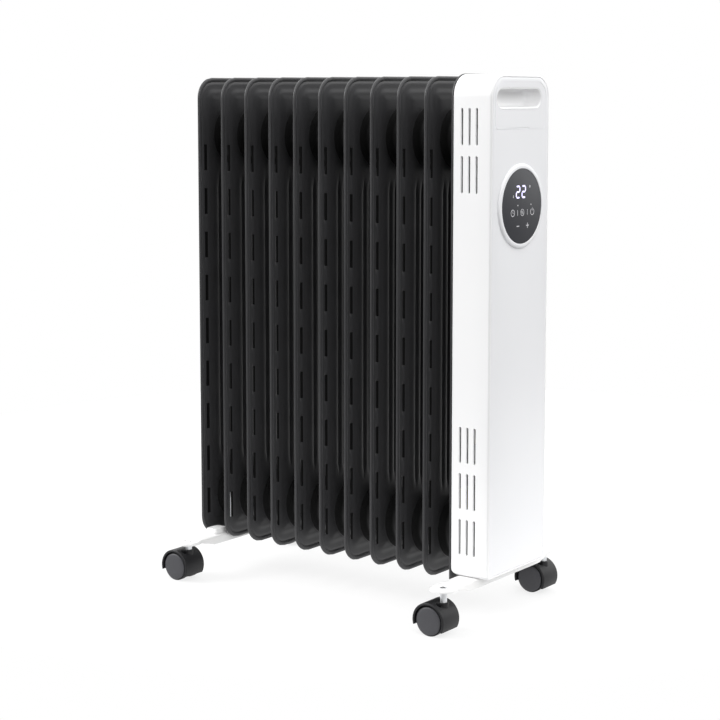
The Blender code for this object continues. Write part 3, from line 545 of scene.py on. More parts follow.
def dome_profile():
    """The blind hub on the outside of the first fin."""
    root = HUB_ROOT
    return [
        (root + 3.6 * MM, 0),
        (root + 3.6 * MM, PANEL_HALF - 0.05 * MM),
        (root + 1.6 * MM, PANEL_HALF + 0.2 * MM),
        (root, PANEL_HALF + 1.0 * MM),
        (root - 1.6 * MM, PANEL_HALF + 2.2 * MM),
        (root - 3.6 * MM, PANEL_HALF + 2.9 * MM),
        (root - 14 * MM, PANEL_HALF + 3.6 * MM),
        (root - 16 * MM, PANEL_HALF + 4.2 * MM),
        (root - 19 * MM, PANEL_HALF + 4.6 * MM),
        (0, PANEL_HALF + 4.9 * MM),
    ]


def fin_mesh(name, blind):
    shape = bmesh.new()
    add_fin_sheets(shape, blind)
    for hub in hubs:
        center = (0, 0, hub - fin_low.z)
        hub_sides = [(hub_profile(fin_reach), 1), (dome_profile() if blind else hub_profile(fin_reach), -1)]
        for profile, side in hub_sides:
            add_turned(shape, [(0, 0)] + [(r, side * x) for r, x in profile], center, "X")
    mesh = mesh_of(name, shape)
    give_surface(mesh, fin_coat, slot_shade)
    return mesh


end_fin = fin_mesh("end_fin", True)
inner_fin = fin_mesh("inner_fin", False)
for i, x in enumerate(fin_x):
    node = f"fin_{i + 1:02d}"
    shown_mesh(f"pressed_{node}", inner_fin if i else end_fin, fin_coat, "root", [node],
               (x, 0, fin_low.z))

for node, hub in zip(("lower_header", "upper_header"), hubs):
    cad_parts[node].data.materials.clear()
    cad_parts[node].data.materials.append(black_coat)
    welds = bmesh.new()
    for x in fin_x[:-1]:
        ring = arc((HUB_TOP + 0.6 * MM, x + fin_reach), WELD_BEAD, 0, 360, 10)[:-1]
        add_ring(welds, ring, (0, 0, hub), "X")
    shown(f"{node}_welds", welds, black_coat, "root")


# Heat shield. A flat sheet of steel, blanked and coated black like the fins, between the
# last fin and the control box. It stands a little proud of the box all round.
SHEET_EDGE = 0.35 * MM
SHIELD_TOP_CORNER = 26.8 * MM
SHIELD_LOW_CORNER = 1.2 * MM
HEADER_GAP = 0.3 * MM
GLAND_HOLE = 7.8 * MM
CORNER_STEPS = 20


def rounded_outline(width, low, high, low_corner, high_corner, inset=0.0, steps=CORNER_STEPS):
    """Outline in (y, z) of an upright rounded rectangle, drawn in by an inset."""
    half = width / 2 - inset
    low += inset
    high -= inset
    small = max(low_corner - inset, 0.5 * MM)
    large = max(high_corner - inset, 0.5 * MM)
    outline = arc((half - small, low + small), small, -90, 0, steps)
    outline += arc((half - large, high - large), large, 0, 90, steps)
    outline += arc((large - half, high - large), large, 90, 180, steps)
    outline += arc((small - half, low + small), small, 180, 270, steps)
    return outline


def upright(outline, x):
    """An outline in (y, z) set at a distance along X."""
    return [(x, y, z) for y, z in outline]


def helper(shape):
    """A solid that only shapes another piece. It is removed again."""
    made = bpy.data.objects.new("helper", mesh_of("helper", shape))
    bpy.context.scene.collection.objects.link(made)
    return made


def carved(shape, cuts, joins=()):
    """The mesh of a bmesh after other bmeshes are joined to it and cut from it."""
    base = helper(shape)
    tools = [(helper(tool), "UNION") for tool in joins] + [(helper(tool), "DIFFERENCE") for tool in cuts]
    for tool, operation in tools:
        step = base.modifiers.new("carve", "BOOLEAN")
        step.operation = operation
        step.solver = "EXACT"
        step.object = tool
    graph = bpy.context.evaluated_depsgraph_get()
    mesh = bpy.data.meshes.new_from_object(base.evaluated_get(graph))
    for old in [base] + [tool for tool, _ in tools]:
        bpy.data.objects.remove(old)
    return mesh


def round_cut(radius, low, high, center, axis, steps=ROUND_STEPS):
    shape = bmesh.new()
    add_turned(shape, [(0, low), (radius, low), (radius, high), (0, high)], center, axis, steps)
    return shape


shield_low, shield_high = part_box("rear_shield")
gland_low, gland_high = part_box("cord_gland")
gland_at = (gland_low + gland_high) / 2
header_low, header_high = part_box("upper_header")
header_radius = (header_high.z - header_low.z) / 2
shield = bmesh.new()
shield_thick = shield_high.x - shield_low.x
shield_rings = [(SHEET_EDGE, 0), (0, SHEET_EDGE), (0, shield_thick - SHEET_EDGE), (SHEET_EDGE, shield_thick)]
add_skin(shield, [upright(rounded_outline(shield_high.y - shield_low.y, shield_low.z, shield_high.z,
                                          SHIELD_LOW_CORNER, SHIELD_TOP_CORNER, inset), shield_low.x + x)
                  for inset, x in shield_rings])
reach = 10 * MM
shield_cuts = [round_cut(header_radius + HEADER_GAP, -reach, reach, (shield_low.x, 0, hub), "X")
               for hub in hubs]
shield_cuts.append(round_cut(GLAND_HOLE, -reach, reach, (shield_low.x, gland_at.y, gland_at.z), "X"))
shown_mesh("heat_shield", carved(shield, shield_cuts), black_coat, "root", ["rear_shield"])


# Collars. Turned steel rings, coated with the fins, where each header runs from the last
# fin into the shield.
collars = bmesh.new()
for hub in hubs:
    start = fin_x[-1] + fin_reach - WELD_GAP
    outer = HUB_TOP + 2.5 * MM
    ring = [(header_radius + 0.2 * MM, start), (outer, start), (outer + 0.5 * MM, start + 0.5 * MM),
            (outer + 0.5 * MM, shield_low.x - 0.8 * MM), (outer, shield_low.x - 0.3 * MM),
            (header_radius + 0.2 * MM, shield_low.x - 0.3 * MM)]
    add_ring(collars, ring, (0, 0, hub), "X")
shown("header_collars", collars, black_coat, "root")


# Control box wrap. A white ABS moulding: top, bottom and both sides in one, with a soft
# front edge, round upper corners and long vents in each side wall.
BOX_WALL = 3 * MM
BOX_EDGE = 2.8 * MM
BOX_TOP_CORNER = 26 * MM
BOX_LOW_CORNER = 5 * MM
REAR_CORNER = 10 * MM
EDGE_STEPS = 5
VENT_WIDTH = 3.2 * MM
VENT_LENGTH = 42.5 * MM
VENT_FIRST_COLUMN = 11.5 * MM
VENT_COLUMN_PITCH = 9.9 * MM
VENT_ROW_PITCH = 54.4 * MM
VENT_TOP_DROP = 38.2 * MM
VENT_LOW_RISE = 25.5 * MM

# Moulded ABS with a fine spark-eroded grain: clean white, satin, with a soft broad sheen.
# The real grain is about 0.2 mm and is drawn at 0.9 mm so that it shows.
GRAIN = 0.9 * MM
grain = (NOISE, GRAIN, 2.0)
white_abs = new_finish("moulded_white_abs", ("#F3F3F4", "#F8F8F8"), (NOISE, 90 * MM, 2.0), {"IOR": 1.53},
                       gloss=(0.40, 0.50, grain), bump=(0.2, 0.03 * MM, grain))

box_low, box_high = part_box("box_shell")
box_depth = box_high.y - box_low.y
face_x = box_high.x


def box_outline(inset):
    return rounded_outline(box_depth, box_low.z, box_high.z, BOX_LOW_CORNER, BOX_TOP_CORNER, inset)


def edge_rings(radius, x, steps=EDGE_STEPS):
    """Pairs of (inset, x) round a front edge, from the side wall to the face."""
    turns = [math.radians(90 * i / steps) for i in range(steps + 1)]
    return [(radius * (1 - math.cos(a)), x - radius + radius * math.sin(a)) for a in turns]


wrap = bmesh.new()
wrap_rings = [(0.3 * MM, box_low.x), (0, box_low.x + 0.3 * MM)] + edge_rings(BOX_EDGE - 0.2 * MM, face_x)
wrap_rings += [(BOX_WALL - 0.15 * MM, face_x), (BOX_WALL, face_x - 0.2 * MM),
               (BOX_WALL, box_low.x + 0.2 * MM), (BOX_WALL - 0.2 * MM, box_low.x)]
add_skin(wrap, [upright(box_outline(inset), x) for inset, x in wrap_rings], closed=True)
vents = bmesh.new()
vent_rows = [box_high.z - VENT_TOP_DROP - VENT_LENGTH - i * VENT_ROW_PITCH for i in range(2)]
vent_rows += [box_low.z + VENT_LOW_RISE + i * VENT_ROW_PITCH for i in range(3)]
vent_columns = [box_low.x + VENT_FIRST_COLUMN + i * VENT_COLUMN_PITCH for i in range(3)]
for row in vent_rows:
    for column in vent_columns:
        radius = VENT_WIDTH / 2
        ends = arc((column, row + VENT_LENGTH - radius), radius, 0, 180, 8)
        ends += arc((column, row + radius), radius, 180, 360, 8)
        add_skin(vents, [[(x, y, z) for x, z in ends] for y in (-box_depth, box_depth)])
notch = bmesh.new()
notch_line = [(box_low.x - MM, box_low.z - MM), (box_low.x + REAR_CORNER, box_low.z - MM)]
notch_line += arc((box_low.x + REAR_CORNER, box_low.z + REAR_CORNER), REAR_CORNER, 270, 180, 10)
notch_line += [(box_low.x - MM, box_low.z + REAR_CORNER)]
add_skin(notch, [[(x, y, z) for x, z in notch_line] for y in (-box_depth, box_depth)])
shown_mesh("box_wrap", carved(wrap, [vents, notch]), white_abs, "root", ["box_shell"])


# End cover. A flat ABS moulding that clips into the front of the wrap, with a fine gap
# all round and the shallow outline of the handle insert round the grip.
COVER_INSET = 3.35 * MM
COVER_EDGE = 0.4 * MM
COVER_THICK = 2.5 * MM
GRIP_GAP = 0.12 * MM
BEZEL_COLLAR_RADIUS = 45.8 * MM
INSERT_WIDTH = 112 * MM
INSERT_LOW = 63.6 * MM
INSERT_HIGH = 8.5 * MM
INSERT_LINE = 0.8 * MM
INSERT_DEPTH = 0.4 * MM
INSERT_LOW_CORNER = 8 * MM
INSERT_HIGH_CORNER = 18 * MM
LIP_SPAN = (-33 * MM, 18 * MM)
LIP_HEIGHT = 1.4 * MM

# The same ABS from a cooler white batch, polished a little finer than the wrap.
cover_abs = new_finish("moulded_cool_white_abs", ("#EEEFF1", "#F3F3F5"), (NOISE, 90 * MM, 2.0), {"IOR": 1.53},
                       gloss=(0.36, 0.44, grain), bump=(0.15, 0.03 * MM, grain))


def stadium(length, height, inset=0.0, steps=14):
    """Outline in (y, z) of a slot with round ends, centred on zero."""
    radius = height / 2 - inset
    reach = (length - height) / 2
    return arc((reach, 0), radius, -90, 90, steps) + arc((-reach, 0), radius, 90, 270, steps)


grip_low, grip_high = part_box("grip_cup")
grip_at = (grip_low + grip_high) / 2
grip_length = grip_high.y - grip_low.y
grip_height = grip_high.z - grip_low.z
panel_low, panel_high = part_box("panel_bezel")
panel_z = (panel_low.z + panel_high.z) / 2


def grip_ring(inset, x):
    line = stadium(grip_length, grip_height, inset)
    return [(grip_high.x + x, grip_at.y + y, grip_at.z + z) for y, z in line]


cover = bmesh.new()
cover_rings = [(COVER_INSET, face_x - COVER_THICK), (COVER_INSET, face_x - COVER_EDGE),
               (COVER_INSET + COVER_EDGE * 0.3, face_x - COVER_EDGE * 0.3),
               (COVER_INSET + COVER_EDGE, face_x)]
add_skin(cover, [upright(box_outline(inset), x) for inset, x in cover_rings])
grip_hole = bmesh.new()
add_skin(grip_hole, [grip_ring(-GRIP_GAP, -reach), grip_ring(-GRIP_GAP, reach)])
panel_hole = round_cut(BEZEL_COLLAR_RADIUS, -reach, reach, (face_x, 0, panel_z), "X")
groove = bmesh.new()
groove_lines = [rounded_outline(INSERT_WIDTH, box_high.z - INSERT_LOW, box_high.z - INSERT_HIGH,
                                INSERT_LOW_CORNER, INSERT_HIGH_CORNER, inset) for inset in (0, INSERT_LINE)]
add_skin(groove, [upright(groove_lines[0], face_x - INSERT_DEPTH), upright(groove_lines[0], face_x + MM),
                  upright(groove_lines[1], face_x + MM), upright(groove_lines[1], face_x - INSERT_DEPTH)],
         closed=True)
lip = bmesh.new()
lip_z = box_high.z - INSERT_LOW + INSERT_LINE + 0.4 * MM
lip_line = [(LIP_SPAN[0], lip_z), (LIP_SPAN[1], lip_z), (LIP_SPAN[1], lip_z + LIP_HEIGHT),
            (LIP_SPAN[0], lip_z + LIP_HEIGHT)]
add_skin(lip, [upright(lip_line, face_x - 0.6 * MM), upright(lip_line, face_x + MM)])
shown_mesh("cover_plate", carved(cover, [grip_hole, panel_hole, groove, lip]), cover_abs, "root",
           ["end_cover"])


# Grip cup. The moulded pocket that the fingers reach into to roll the heater, with a
# rounded lip and a soft floor. It clips into the cover.
grip = bmesh.new()
cup_depth = grip_high.x - grip_low.x
cup_rings = [(1.2, -cup_depth / MM), (0, 1.2 - cup_depth / MM), (0, -0.3), (0.3, 0), (0.9, 0), (1.35, -0.12),
             (1.75, -0.45), (2.0, -1.0), (2.1, -3.0), (2.4, 9 - cup_depth / MM), (3.2, 7 - cup_depth / MM),
             (4.6, 5.7 - cup_depth / MM), (6.6, 5.1 - cup_depth / MM)]
add_skin(grip, [grip_ring(inset * MM, x * MM) for inset, x in cup_rings])
shown("grip_pocket", grip, white_abs, "root", ["grip_cup"])


# Panel bezel. A white ABS ring with a soft shoulder that holds the touch glass, snapped
# into the cover by a collar behind.
bezel_turn = [(43.7, 2.25), (43.9, 2.45), (44.2, 2.5), (46.0, 2.5), (47.0, 2.36), (47.9, 2.0), (48.6, 1.45),
              (49.05, 0.85), (49.2, 0.3), (45.5, 0.3), (45.5, -5.5), (40.7, -5.5), (40.7, -0.1), (43.7, -0.1)]
bezel = bmesh.new()
add_ring(bezel, [(r * MM, x * MM) for r, x in bezel_turn], (face_x, 0, panel_z), "X", 2 * ROUND_STEPS)
shown("panel_ring", bezel, cover_abs, "root", ["panel_bezel"])


# Touch glass. A disc of toughened glass, printed dark grey on its back, with a fine
# polished edge. The lit figures and the printed key marks read through it.
glass_low, glass_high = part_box("touch_panel")
glass_radius = (glass_high.z - glass_low.z) / 2
INK_DOT = 0.5 * MM
CELLS = ("ShaderNodeTexVoronoi", "Distance", "Randomness")

# Back-printed glass: an even dark grey under a clear gloss, with the faint screen of the
# ink. The real screen is about 0.1 mm and is drawn at 0.5 mm.
panel_glass = new_finish("back_printed_glass", ("#37383C", "#3F4044"), (CELLS, INK_DOT, 1.0), {"IOR": 1.52},
                         gloss=(0.46, 0.54, (NOISE, 12 * MM, 3.0)))

glass = bmesh.new()
glass_thick = glass_high.x - glass_low.x
add_turned(glass, [(0, 0), (glass_radius, 0), (glass_radius, glass_thick - 0.4 * MM),
                   (glass_radius - 0.12 * MM, glass_thick - 0.12 * MM),
                   (glass_radius - 0.4 * MM, glass_thick),
                   (0, glass_thick)], (glass_low.x, 0, panel_z), "X", 2 * ROUND_STEPS)
shown("touch_glass", glass, panel_glass, "root", ["touch_panel"])


# Figures and key marks. Two lit seven-segment figures behind the glass, and small light
# grey marks for the keys, printed on it. Here both are thin solids on its face.
FIGURE_HEIGHT = 15 * MM
FIGURE_WIDTH = 9.6 * MM
FIGURE_GAP = 2.8 * MM
FIGURES_AT = (-2.6 * MM, 16.7 * MM)
BAR = 2.0 * MM
BAR_GAP = 0.35 * MM
MARK_THICK = 0.12 * MM
MARK_LINE = 0.75 * MM
KEYS_Z = -7.3 * MM
SIGNS_Z = -22.8 * MM
LAMPS_Z = 1.2 * MM
TIMER_Y = -20 * MM
MODE_Y = 1 * MM
POWER_Y = 23 * MM
KEY_RADIUS = 3.8 * MM

# Lit figures: a white diode through a violet-grey filter, which glows a pale lavender.
lit_figure = new_finish("lit_led_segment", ("#C4BDF8", "#EDEAFF"), (NOISE, 4 * MM, 1.0),
                        {"IOR": 1.5, "Roughness": 0.4, "Emission Strength": 0.95}, glows=True)

# Screen-printed ink: a light grey with slightly uneven cover, lit a little from behind.
mark_ink = new_finish("screen_printed_grey_ink", ("#B9B9BC", "#D9D9DC"), (NOISE, 0.8 * MM, 2.0),
                      {"IOR": 1.5, "Roughness": 0.5, "Emission Strength": 0.12}, glows=True)


def add_stroke(shape, points, width, closed=False):
    """A flat bar of even width along points in (y, z) from the panel's middle."""
    front, back = glass_high.x + MARK_THICK, glass_high.x - MARK_THICK / 2
    rings = []
    for i, (y, z) in enumerate(points):
        if closed:
            before, after = points[i - 1], points[(i + 1) % len(points)]
        else:
            before, after = points[max(i - 1, 0)], points[min(i + 1, len(points) - 1)]
        along = Vector((after[0] - before[0], after[1] - before[1])).normalized()
        side = Vector((-along.y, along.x)) * width / 2
        near, far = (y + side.x, panel_z + z + side.y), (y - side.x, panel_z + z - side.y)
        rings.append([(front, *near), (front, *far), (back, *far), (back, *near)])
    add_skin(shape, rings, closed=closed)


def add_segment(shape, start, end):
    """One bar of a figure, with pointed ends."""
    along = Vector((end[0] - start[0], end[1] - start[1])).normalized()
    side = Vector((-along.y, along.x)) * BAR / 2
    first = Vector(start) + along * BAR_GAP
    last = Vector(end) - along * BAR_GAP
    corners = [first, first + along * BAR / 2 + side, last - along * BAR / 2 + side, last,
               last - along * BAR / 2 - side, first + along * BAR / 2 - side]
    add_skin(shape, [[(x, c.x, panel_z + c.y) for c in corners]
                     for x in (glass_high.x - MARK_THICK / 2, glass_high.x + MARK_THICK)])


figures = bmesh.new()
for side in (-1, 1):
    middle = FIGURES_AT[0] + side * (FIGURE_WIDTH + FIGURE_GAP) / 2
    left, right = middle - (FIGURE_WIDTH - BAR) / 2, middle + (FIGURE_WIDTH - BAR) / 2
    low = FIGURES_AT[1] - (FIGURE_HEIGHT - BAR) / 2
    high = FIGURES_AT[1] + (FIGURE_HEIGHT - BAR) / 2
    for start, end in (((left, high), (right, high)), ((right, high), (right, FIGURES_AT[1])),
                       ((left, FIGURES_AT[1]), (right, FIGURES_AT[1])), ((left, FIGURES_AT[1]), (left, low)),
                       ((left, low), (right, low))):
        add_segment(figures, start, end)
shown("lit_figures", figures, lit_figure, "root")

marks = bmesh.new()
degree = arc((17 * MM, FIGURES_AT[1] + 5.6 * MM), 1.1 * MM, 0, 360, 16)[:-1]
add_stroke(marks, degree, 0.7 * MM, closed=True)
add_stroke(marks, [(-19 * MM, 10.2 * MM), (-19 * MM, 13.2 * MM)], 1.2 * MM)
for y in (-9 * MM, 20 * MM):
    add_stroke(marks, arc((y, LAMPS_Z), 0.45 * MM, 0, 360, 12)[:-1], 0.85 * MM, closed=True)
add_stroke(marks, arc((TIMER_Y, KEYS_Z), KEY_RADIUS, 0, 360, 32)[:-1], MARK_LINE, closed=True)
add_stroke(marks, [(TIMER_Y, KEYS_Z + 2.2 * MM), (TIMER_Y, KEYS_Z), (TIMER_Y + 1.7 * MM, KEYS_Z)], 0.65 * MM)
add_stroke(marks, arc((MODE_Y, KEYS_Z), KEY_RADIUS, 0, 360, 32)[:-1], 0.5 * MM, closed=True)
for step in (-1, 0, 1):
    wave = [(MODE_Y + step * 1.7 * MM + 0.35 * MM * math.sin(i * math.pi / 4), KEYS_Z + (i - 4) * 0.5 * MM)
            for i in range(9)]
    add_stroke(marks, wave, 0.55 * MM)
add_stroke(marks, arc((POWER_Y, KEYS_Z), KEY_RADIUS, 125, 415, 28), MARK_LINE)
add_stroke(marks, [(POWER_Y, KEYS_Z + 1.2 * MM), (POWER_Y, KEYS_Z + 4.6 * MM)], MARK_LINE)
for y in ((TIMER_Y + MODE_Y) / 2, (MODE_Y + POWER_Y) / 2):
    add_stroke(marks, [(y, KEYS_Z - 3.2 * MM), (y, KEYS_Z + 3.2 * MM)], 0.6 * MM)
add_stroke(marks, [(-11.4 * MM, SIGNS_Z), (-5.8 * MM, SIGNS_Z)], 1.0 * MM)
add_stroke(marks, [(9.6 * MM, SIGNS_Z), (12.1 * MM, SIGNS_Z)], 1.0 * MM)
add_stroke(marks, [(13.1 * MM, SIGNS_Z), (15.6 * MM, SIGNS_Z)], 1.0 * MM)
add_stroke(marks, [(12.6 * MM, SIGNS_Z - 3 * MM), (12.6 * MM, SIGNS_Z + 3 * MM)], 1.0 * MM)
shown("key_marks", marks, mark_ink, "root")


# Inner parts. The boards with their carrier, relay and terminals, the sensors, the tip-over
# switch, the fill plug and the heating element. They keep their modelled shapes, and the
# headers and the box hide them but for what can be seen through the vents.
BOARD_PITCH = 2.54 * MM
SPECKLE = 1.5 * MM
TURNING_PITCH = 0.6 * MM
LINES = ("ShaderNodeTexWave", "Fac", "Distortion")


def finished(material, *nodes):
    """Gives CAD nodes that stay in view their material."""
    for node in nodes:
        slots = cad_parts[node].data.materials
        slots.clear()
        slots.append(material)


# Glass-epoxy board under green solder mask, with a row and column pattern of tin pads.
board_mask, tree = new_material("green_solder_mask")
where = add_node(tree, "ShaderNodeTexCoord")
pads = add_node(tree, "ShaderNodeTexVoronoi", {"Scale": 1 / BOARD_PITCH, "Randomness": 0.25},
                {"Vector": where.outputs["Object"]})
pad = add_node(tree, "ShaderNodeMapRange", {"From Min": 0.16, "From Max": 0.20, "To Min": 1.0, "To Max": 0.0},
               {"Value": pads.outputs["Distance"]})
tone = add_node(tree, "ShaderNodeMixRGB", {"Color1": linear("#1D5A35"), "Color2": linear("#B9BCBE")},
                {"Fac": pad.outputs["Result"]})
shader = add_node(tree, "ShaderNodeBsdfPrincipled", {"IOR": 1.55, "Roughness": 0.35},
                  {"Base Color": tone.outputs["Color"], "Metallic": pad.outputs["Result"]})
add_node(tree, "ShaderNodeOutputMaterial", {}, {"Surface": shader.outputs["BSDF"]})
finished(board_mask, "power_board", "display_board")

# Black polyamide: moulded housings with a dull, finely pitted skin.
pits = (NOISE, 0.8 * MM, 2.0)
black_pa = new_finish("moulded_black_polyamide", ("#1A1A1C", "#232326"), pits, {"IOR": 1.53},
                      gloss=(0.45, 0.6, pits))
finished(black_pa, "display_module", "relay")

# Beige phenolic moulding: a heat-proof compound with darker flecks of its filler.
phenolic = new_finish("moulded_beige_phenolic", ("#A99C80", "#D0C5AB"), (NOISE, SPECKLE, 4.0),
                      {"IOR": 1.6, "Roughness": 0.55})
finished(phenolic, "board_carrier", "terminal_block", "tilt_bracket")

# Machined steel: grey metal with fine turning marks, here 0.6 mm apart, and dull patches.
patches = (NOISE, 7 * MM, 3.0)
turned_steel = new_finish("turned_plain_steel", ("#A7A8AA", "#C6C7C9"), patches, {"Metallic": 1.0},
                          gloss=(0.30, 0.45, patches),
                          bump=(0.2, 0.02 * MM, (LINES, 4 * TURNING_PITCH, 0.6)))
finished(turned_steel, "fill_plug", "element_flange", "heating_element", "thermal_cutout")

# Brass: a warm metal, drawn and tumbled, a little darker in places.
stain = (NOISE, 3 * MM, 3.0)
brass = new_finish("tumbled_brass", ("#B58B3E", "#D9B365"), stain, {"Metallic": 1.0},
                   gloss=(0.25, 0.42, stain))
finished(brass, "room_sensor", "tilt_pendulum")


# Cord gland and gasket. Moulded black rubber: the gland is pushed into the shield where a
# supply cord would enter, and the gasket seals the heating element's flange.
bloom = (NOISE, 2 * MM, 3.0)
rubber = new_finish("moulded_black_rubber", ("#141414", "#202021"), bloom, {"IOR": 1.52},
                    gloss=(0.7, 0.9, bloom))
finished(rubber, "element_gasket")
gland_turn = [(3.6, -7.8), (3.8, -8.0), (5.6, -8.0), (6.0, -7.7), (6.6, -6.8), (6.3, -6.3), (7.6, -5.0),
              (7.3, -4.5), (8.8, -3.2), (8.5, -2.8), (10.1, -2.3), (10.5, -1.9), (10.5, -0.7), (10.1, -0.3),
              (7.5, -0.3), (7.5, 5.7), (7.2, 6.0), (3.6, 6.0)]
gland = bmesh.new()
add_ring(gland, [(r * MM, x * MM) for r, x in gland_turn], (shield_low.x, gland_at.y, gland_at.z), "X")
shown("rubber_gland", gland, rubber, "root", ["cord_gland"])


# Feet. Each is a channel stamped from 1.6 mm steel and coated white: two round paddles
# dimpled for the caster stems, joined by a strip whose flanges run shallow to the tips.
FOOT_SHEET = 1.6 * MM
FOOT_BEND = 2.4 * MM
FOOT_TIP_DROP = 3.8 * MM
TAPER_START = 74 * MM
TAPER_END = 104 * MM
DIMPLE_RADIUS = 6.4 * MM
DIMPLE_DEPTH = 1.1 * MM
DIMPLE_STEPS = 40
STEM_HOLE = 4.3 * MM
STRIP_INSET = 2.3 * MM
SADDLE_RISE = 6.5 * MM
SADDLE_AT = 58 * MM
SADDLE_LENGTH = 26 * MM
SADDLE_WIDTH = 20 * MM
SADDLE_CORNER = 5 * MM

# White powder coat over steel: bright, glossier than the plastic, with a fine peel. The
# real peel is about 0.8 mm and is drawn at 1.5 mm.
peel = (NOISE, 1.5 * MM, 1.5)
white_coat = new_finish("white_powder_coat", ("#E0E0E0", "#E8E8E7"), (NOISE, 30 * MM, 2.0), {"IOR": 1.5},
                        gloss=(0.26, 0.36, peel), bump=(0.2, 0.05 * MM, peel))


def foot_sizes(node):
    low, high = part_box(node)
    stem_low, stem_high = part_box(f"stem_{node[5:]}_back")
    return low, high, (stem_low.y + stem_high.y) / 2, high.y - (stem_low.y + stem_high.y) / 2


def foot_outline(half, stem_y, radius, inset, steps=20, strip_steps=16):
    """Outline in (x, y): a strip with a round paddle at each end."""
    half -= inset
    radius -= inset
    meet = math.degrees(math.asin(half / radius))
    front = arc((0, -stem_y), radius, 90 + meet, 450 - meet, steps)
    back = arc((0, stem_y), radius, meet - 90, 270 - meet, steps)
    start = front[-1][1]
    right = [(half, start + (back[0][1] - start) * i / strip_steps) for i in range(1, strip_steps)]
    left = [(-x, -y) for x, y in right]
    return front + right + back + left


def flange_low(y, height):
    """How far the flange hangs down at a distance from the middle."""
    share = eased((abs(y) - TAPER_START) / (TAPER_END - TAPER_START))
    return -(height + (FOOT_TIP_DROP - height) * share)


def fill_plate(shape, loops):
    """Fills the flat area between an outline and the round holes in it."""
    edges = []
    for loop in loops:
        pairs = zip(loop, loop[1:] + loop[:1])
        edges += [shape.edges.get((a, b)) or shape.edges.new((a, b)) for a, b in pairs]
    bmesh.ops.triangle_fill(shape, edges=edges, use_beauty=True, use_dissolve=False)


def add_foot(shape, x, top, half, stem_y, radius, height):
    def ring(inset, z):
        line = foot_outline(half, stem_y, radius, inset)
        heights = [flange_low(py, height) if z is None else z for _, py in line]
        return [shape.verts.new((x + px, py, top + up)) for (px, py), up in zip(line, heights)]

    bend = [math.radians(90 * i / 4) for i in range(5)]
    loops = [ring(FOOT_SHEET + 0.8 * MM, -FOOT_SHEET), ring(FOOT_SHEET + 0.2 * MM, -FOOT_SHEET - 0.4 * MM),
             ring(FOOT_SHEET, -FOOT_SHEET - 1.2 * MM), ring(FOOT_SHEET, None), ring(0, None)]
    loops += [ring(FOOT_BEND * (1 - math.cos(a)), FOOT_BEND * (math.sin(a) - 1)) for a in bend]
    bridge(shape, loops)
    above, below = [loops[-1]], [loops[0]]
    for side in (-1, 1):
        dish = []
        for r, z in ((DIMPLE_RADIUS, 0), (DIMPLE_RADIUS - 0.5 * MM, -0.15 * MM),
                     (DIMPLE_RADIUS - 1.3 * MM, -0.9 * MM), (DIMPLE_RADIUS - 1.7 * MM, -DIMPLE_DEPTH),
                     (STEM_HOLE, -DIMPLE_DEPTH), (STEM_HOLE, -FOOT_SHEET)):
            line = arc((0, side * stem_y), r, 0, 360, DIMPLE_STEPS)[:-1]
            dish.append([shape.verts.new((x + px, py, top + z)) for px, py in line])
        bridge(shape, dish)
        above.append(dish[0])
        below.append(dish[-1])
    fill_plate(shape, above)
    fill_plate(shape, below)


def add_pad(shape, x, middle_y, z, length, width, rise, drop):
    """A soft raised pad, pressed up from a sheet."""
    rings = []
    for inset, up in ((0, -drop), (0, 0), (0.3, rise * 0.35), (1.2, rise * 0.8), (2.4, rise)):
        half_x, half_y = width / 2 - inset * MM, length / 2 - inset * MM
        r = SADDLE_CORNER - inset * MM
        line = arc((half_x - r, half_y - r), r, 0, 90, 5) + arc((r - half_x, half_y - r), r, 90, 180, 5)
        line += arc((r - half_x, r - half_y), r, 180, 270, 5) + arc((half_x - r, r - half_y), r, 270, 360, 5)
        rings.append([(x + px, middle_y + py, z + up) for px, py in line])
    add_skin(shape, rings)


for node in ("foot_near", "foot_far"):
    low, high, stem_y, tip_radius = foot_sizes(node)
    far = node == "foot_far"
    saddle = SADDLE_RISE if far else 0
    top = high.z - saddle
    width = high.x - low.x
    foot_x = (low.x + high.x) / 2
    half = tip_radius - STRIP_INSET
    foot = bmesh.new()
    add_foot(foot, foot_x, top, half, stem_y, tip_radius, top - low.z)
    if far:
        for side in (-1, 1):
            add_pad(foot, foot_x, side * SADDLE_AT, top, SADDLE_LENGTH, SADDLE_WIDTH, saddle, FOOT_SHEET / 2)
    shown("stamped_" + node, foot, white_coat, "root", [node])


# Fixings. Screws hold the near foot to the box, and a U-bolt over the lower header with
# two wing nuts holds the far foot. Each caster turns on a plain riveted stem.
STEM_STEPS = 40

# Zinc plate: a bright cool metal with faint crystal patches, here about 1.2 mm across.
crystals = (CELLS, 1.2 * MM, 1.0)
zinc = new_finish("bright_zinc_plate", ("#DADCDF", "#EBEDEF"), crystals, {"Metallic": 1.0},
                  gloss=(0.30, 0.45, crystals))
finished(zinc, "foot_screw_front", "foot_screw_back", "u_bolt", "wing_nut_front", "wing_nut_back")

casters = [f"{foot}_{end}" for foot in ("near", "far") for end in ("front", "back")]
for name in casters:
    low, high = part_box(f"stem_{name}")
    at = ((low.x + high.x) / 2, (low.y + high.y) / 2, 0)
    top = high.z
    collar = top - FOOT_SHEET - 0.3 * MM
    stem = bmesh.new()
    add_turned(stem, [(0, low.z), (3.5 * MM, low.z), (4 * MM, low.z + 0.5 * MM), (4 * MM, collar - 4.6 * MM),
                      (4.9 * MM, collar - 4.2 * MM), (6.9 * MM, collar - 1.0 * MM),
                      (7 * MM, collar - 0.6 * MM), (7 * MM, collar), (4 * MM, collar),
                      (4 * MM, top - 0.9 * MM), (3.2 * MM, top - 0.35 * MM), (1.6 * MM, top - 0.2 * MM),
                      (0, top - 0.15 * MM)], at, "Z", STEM_STEPS)
    shown(f"turned_stem_{name}", stem, zinc, "root", [f"stem_{name}"])


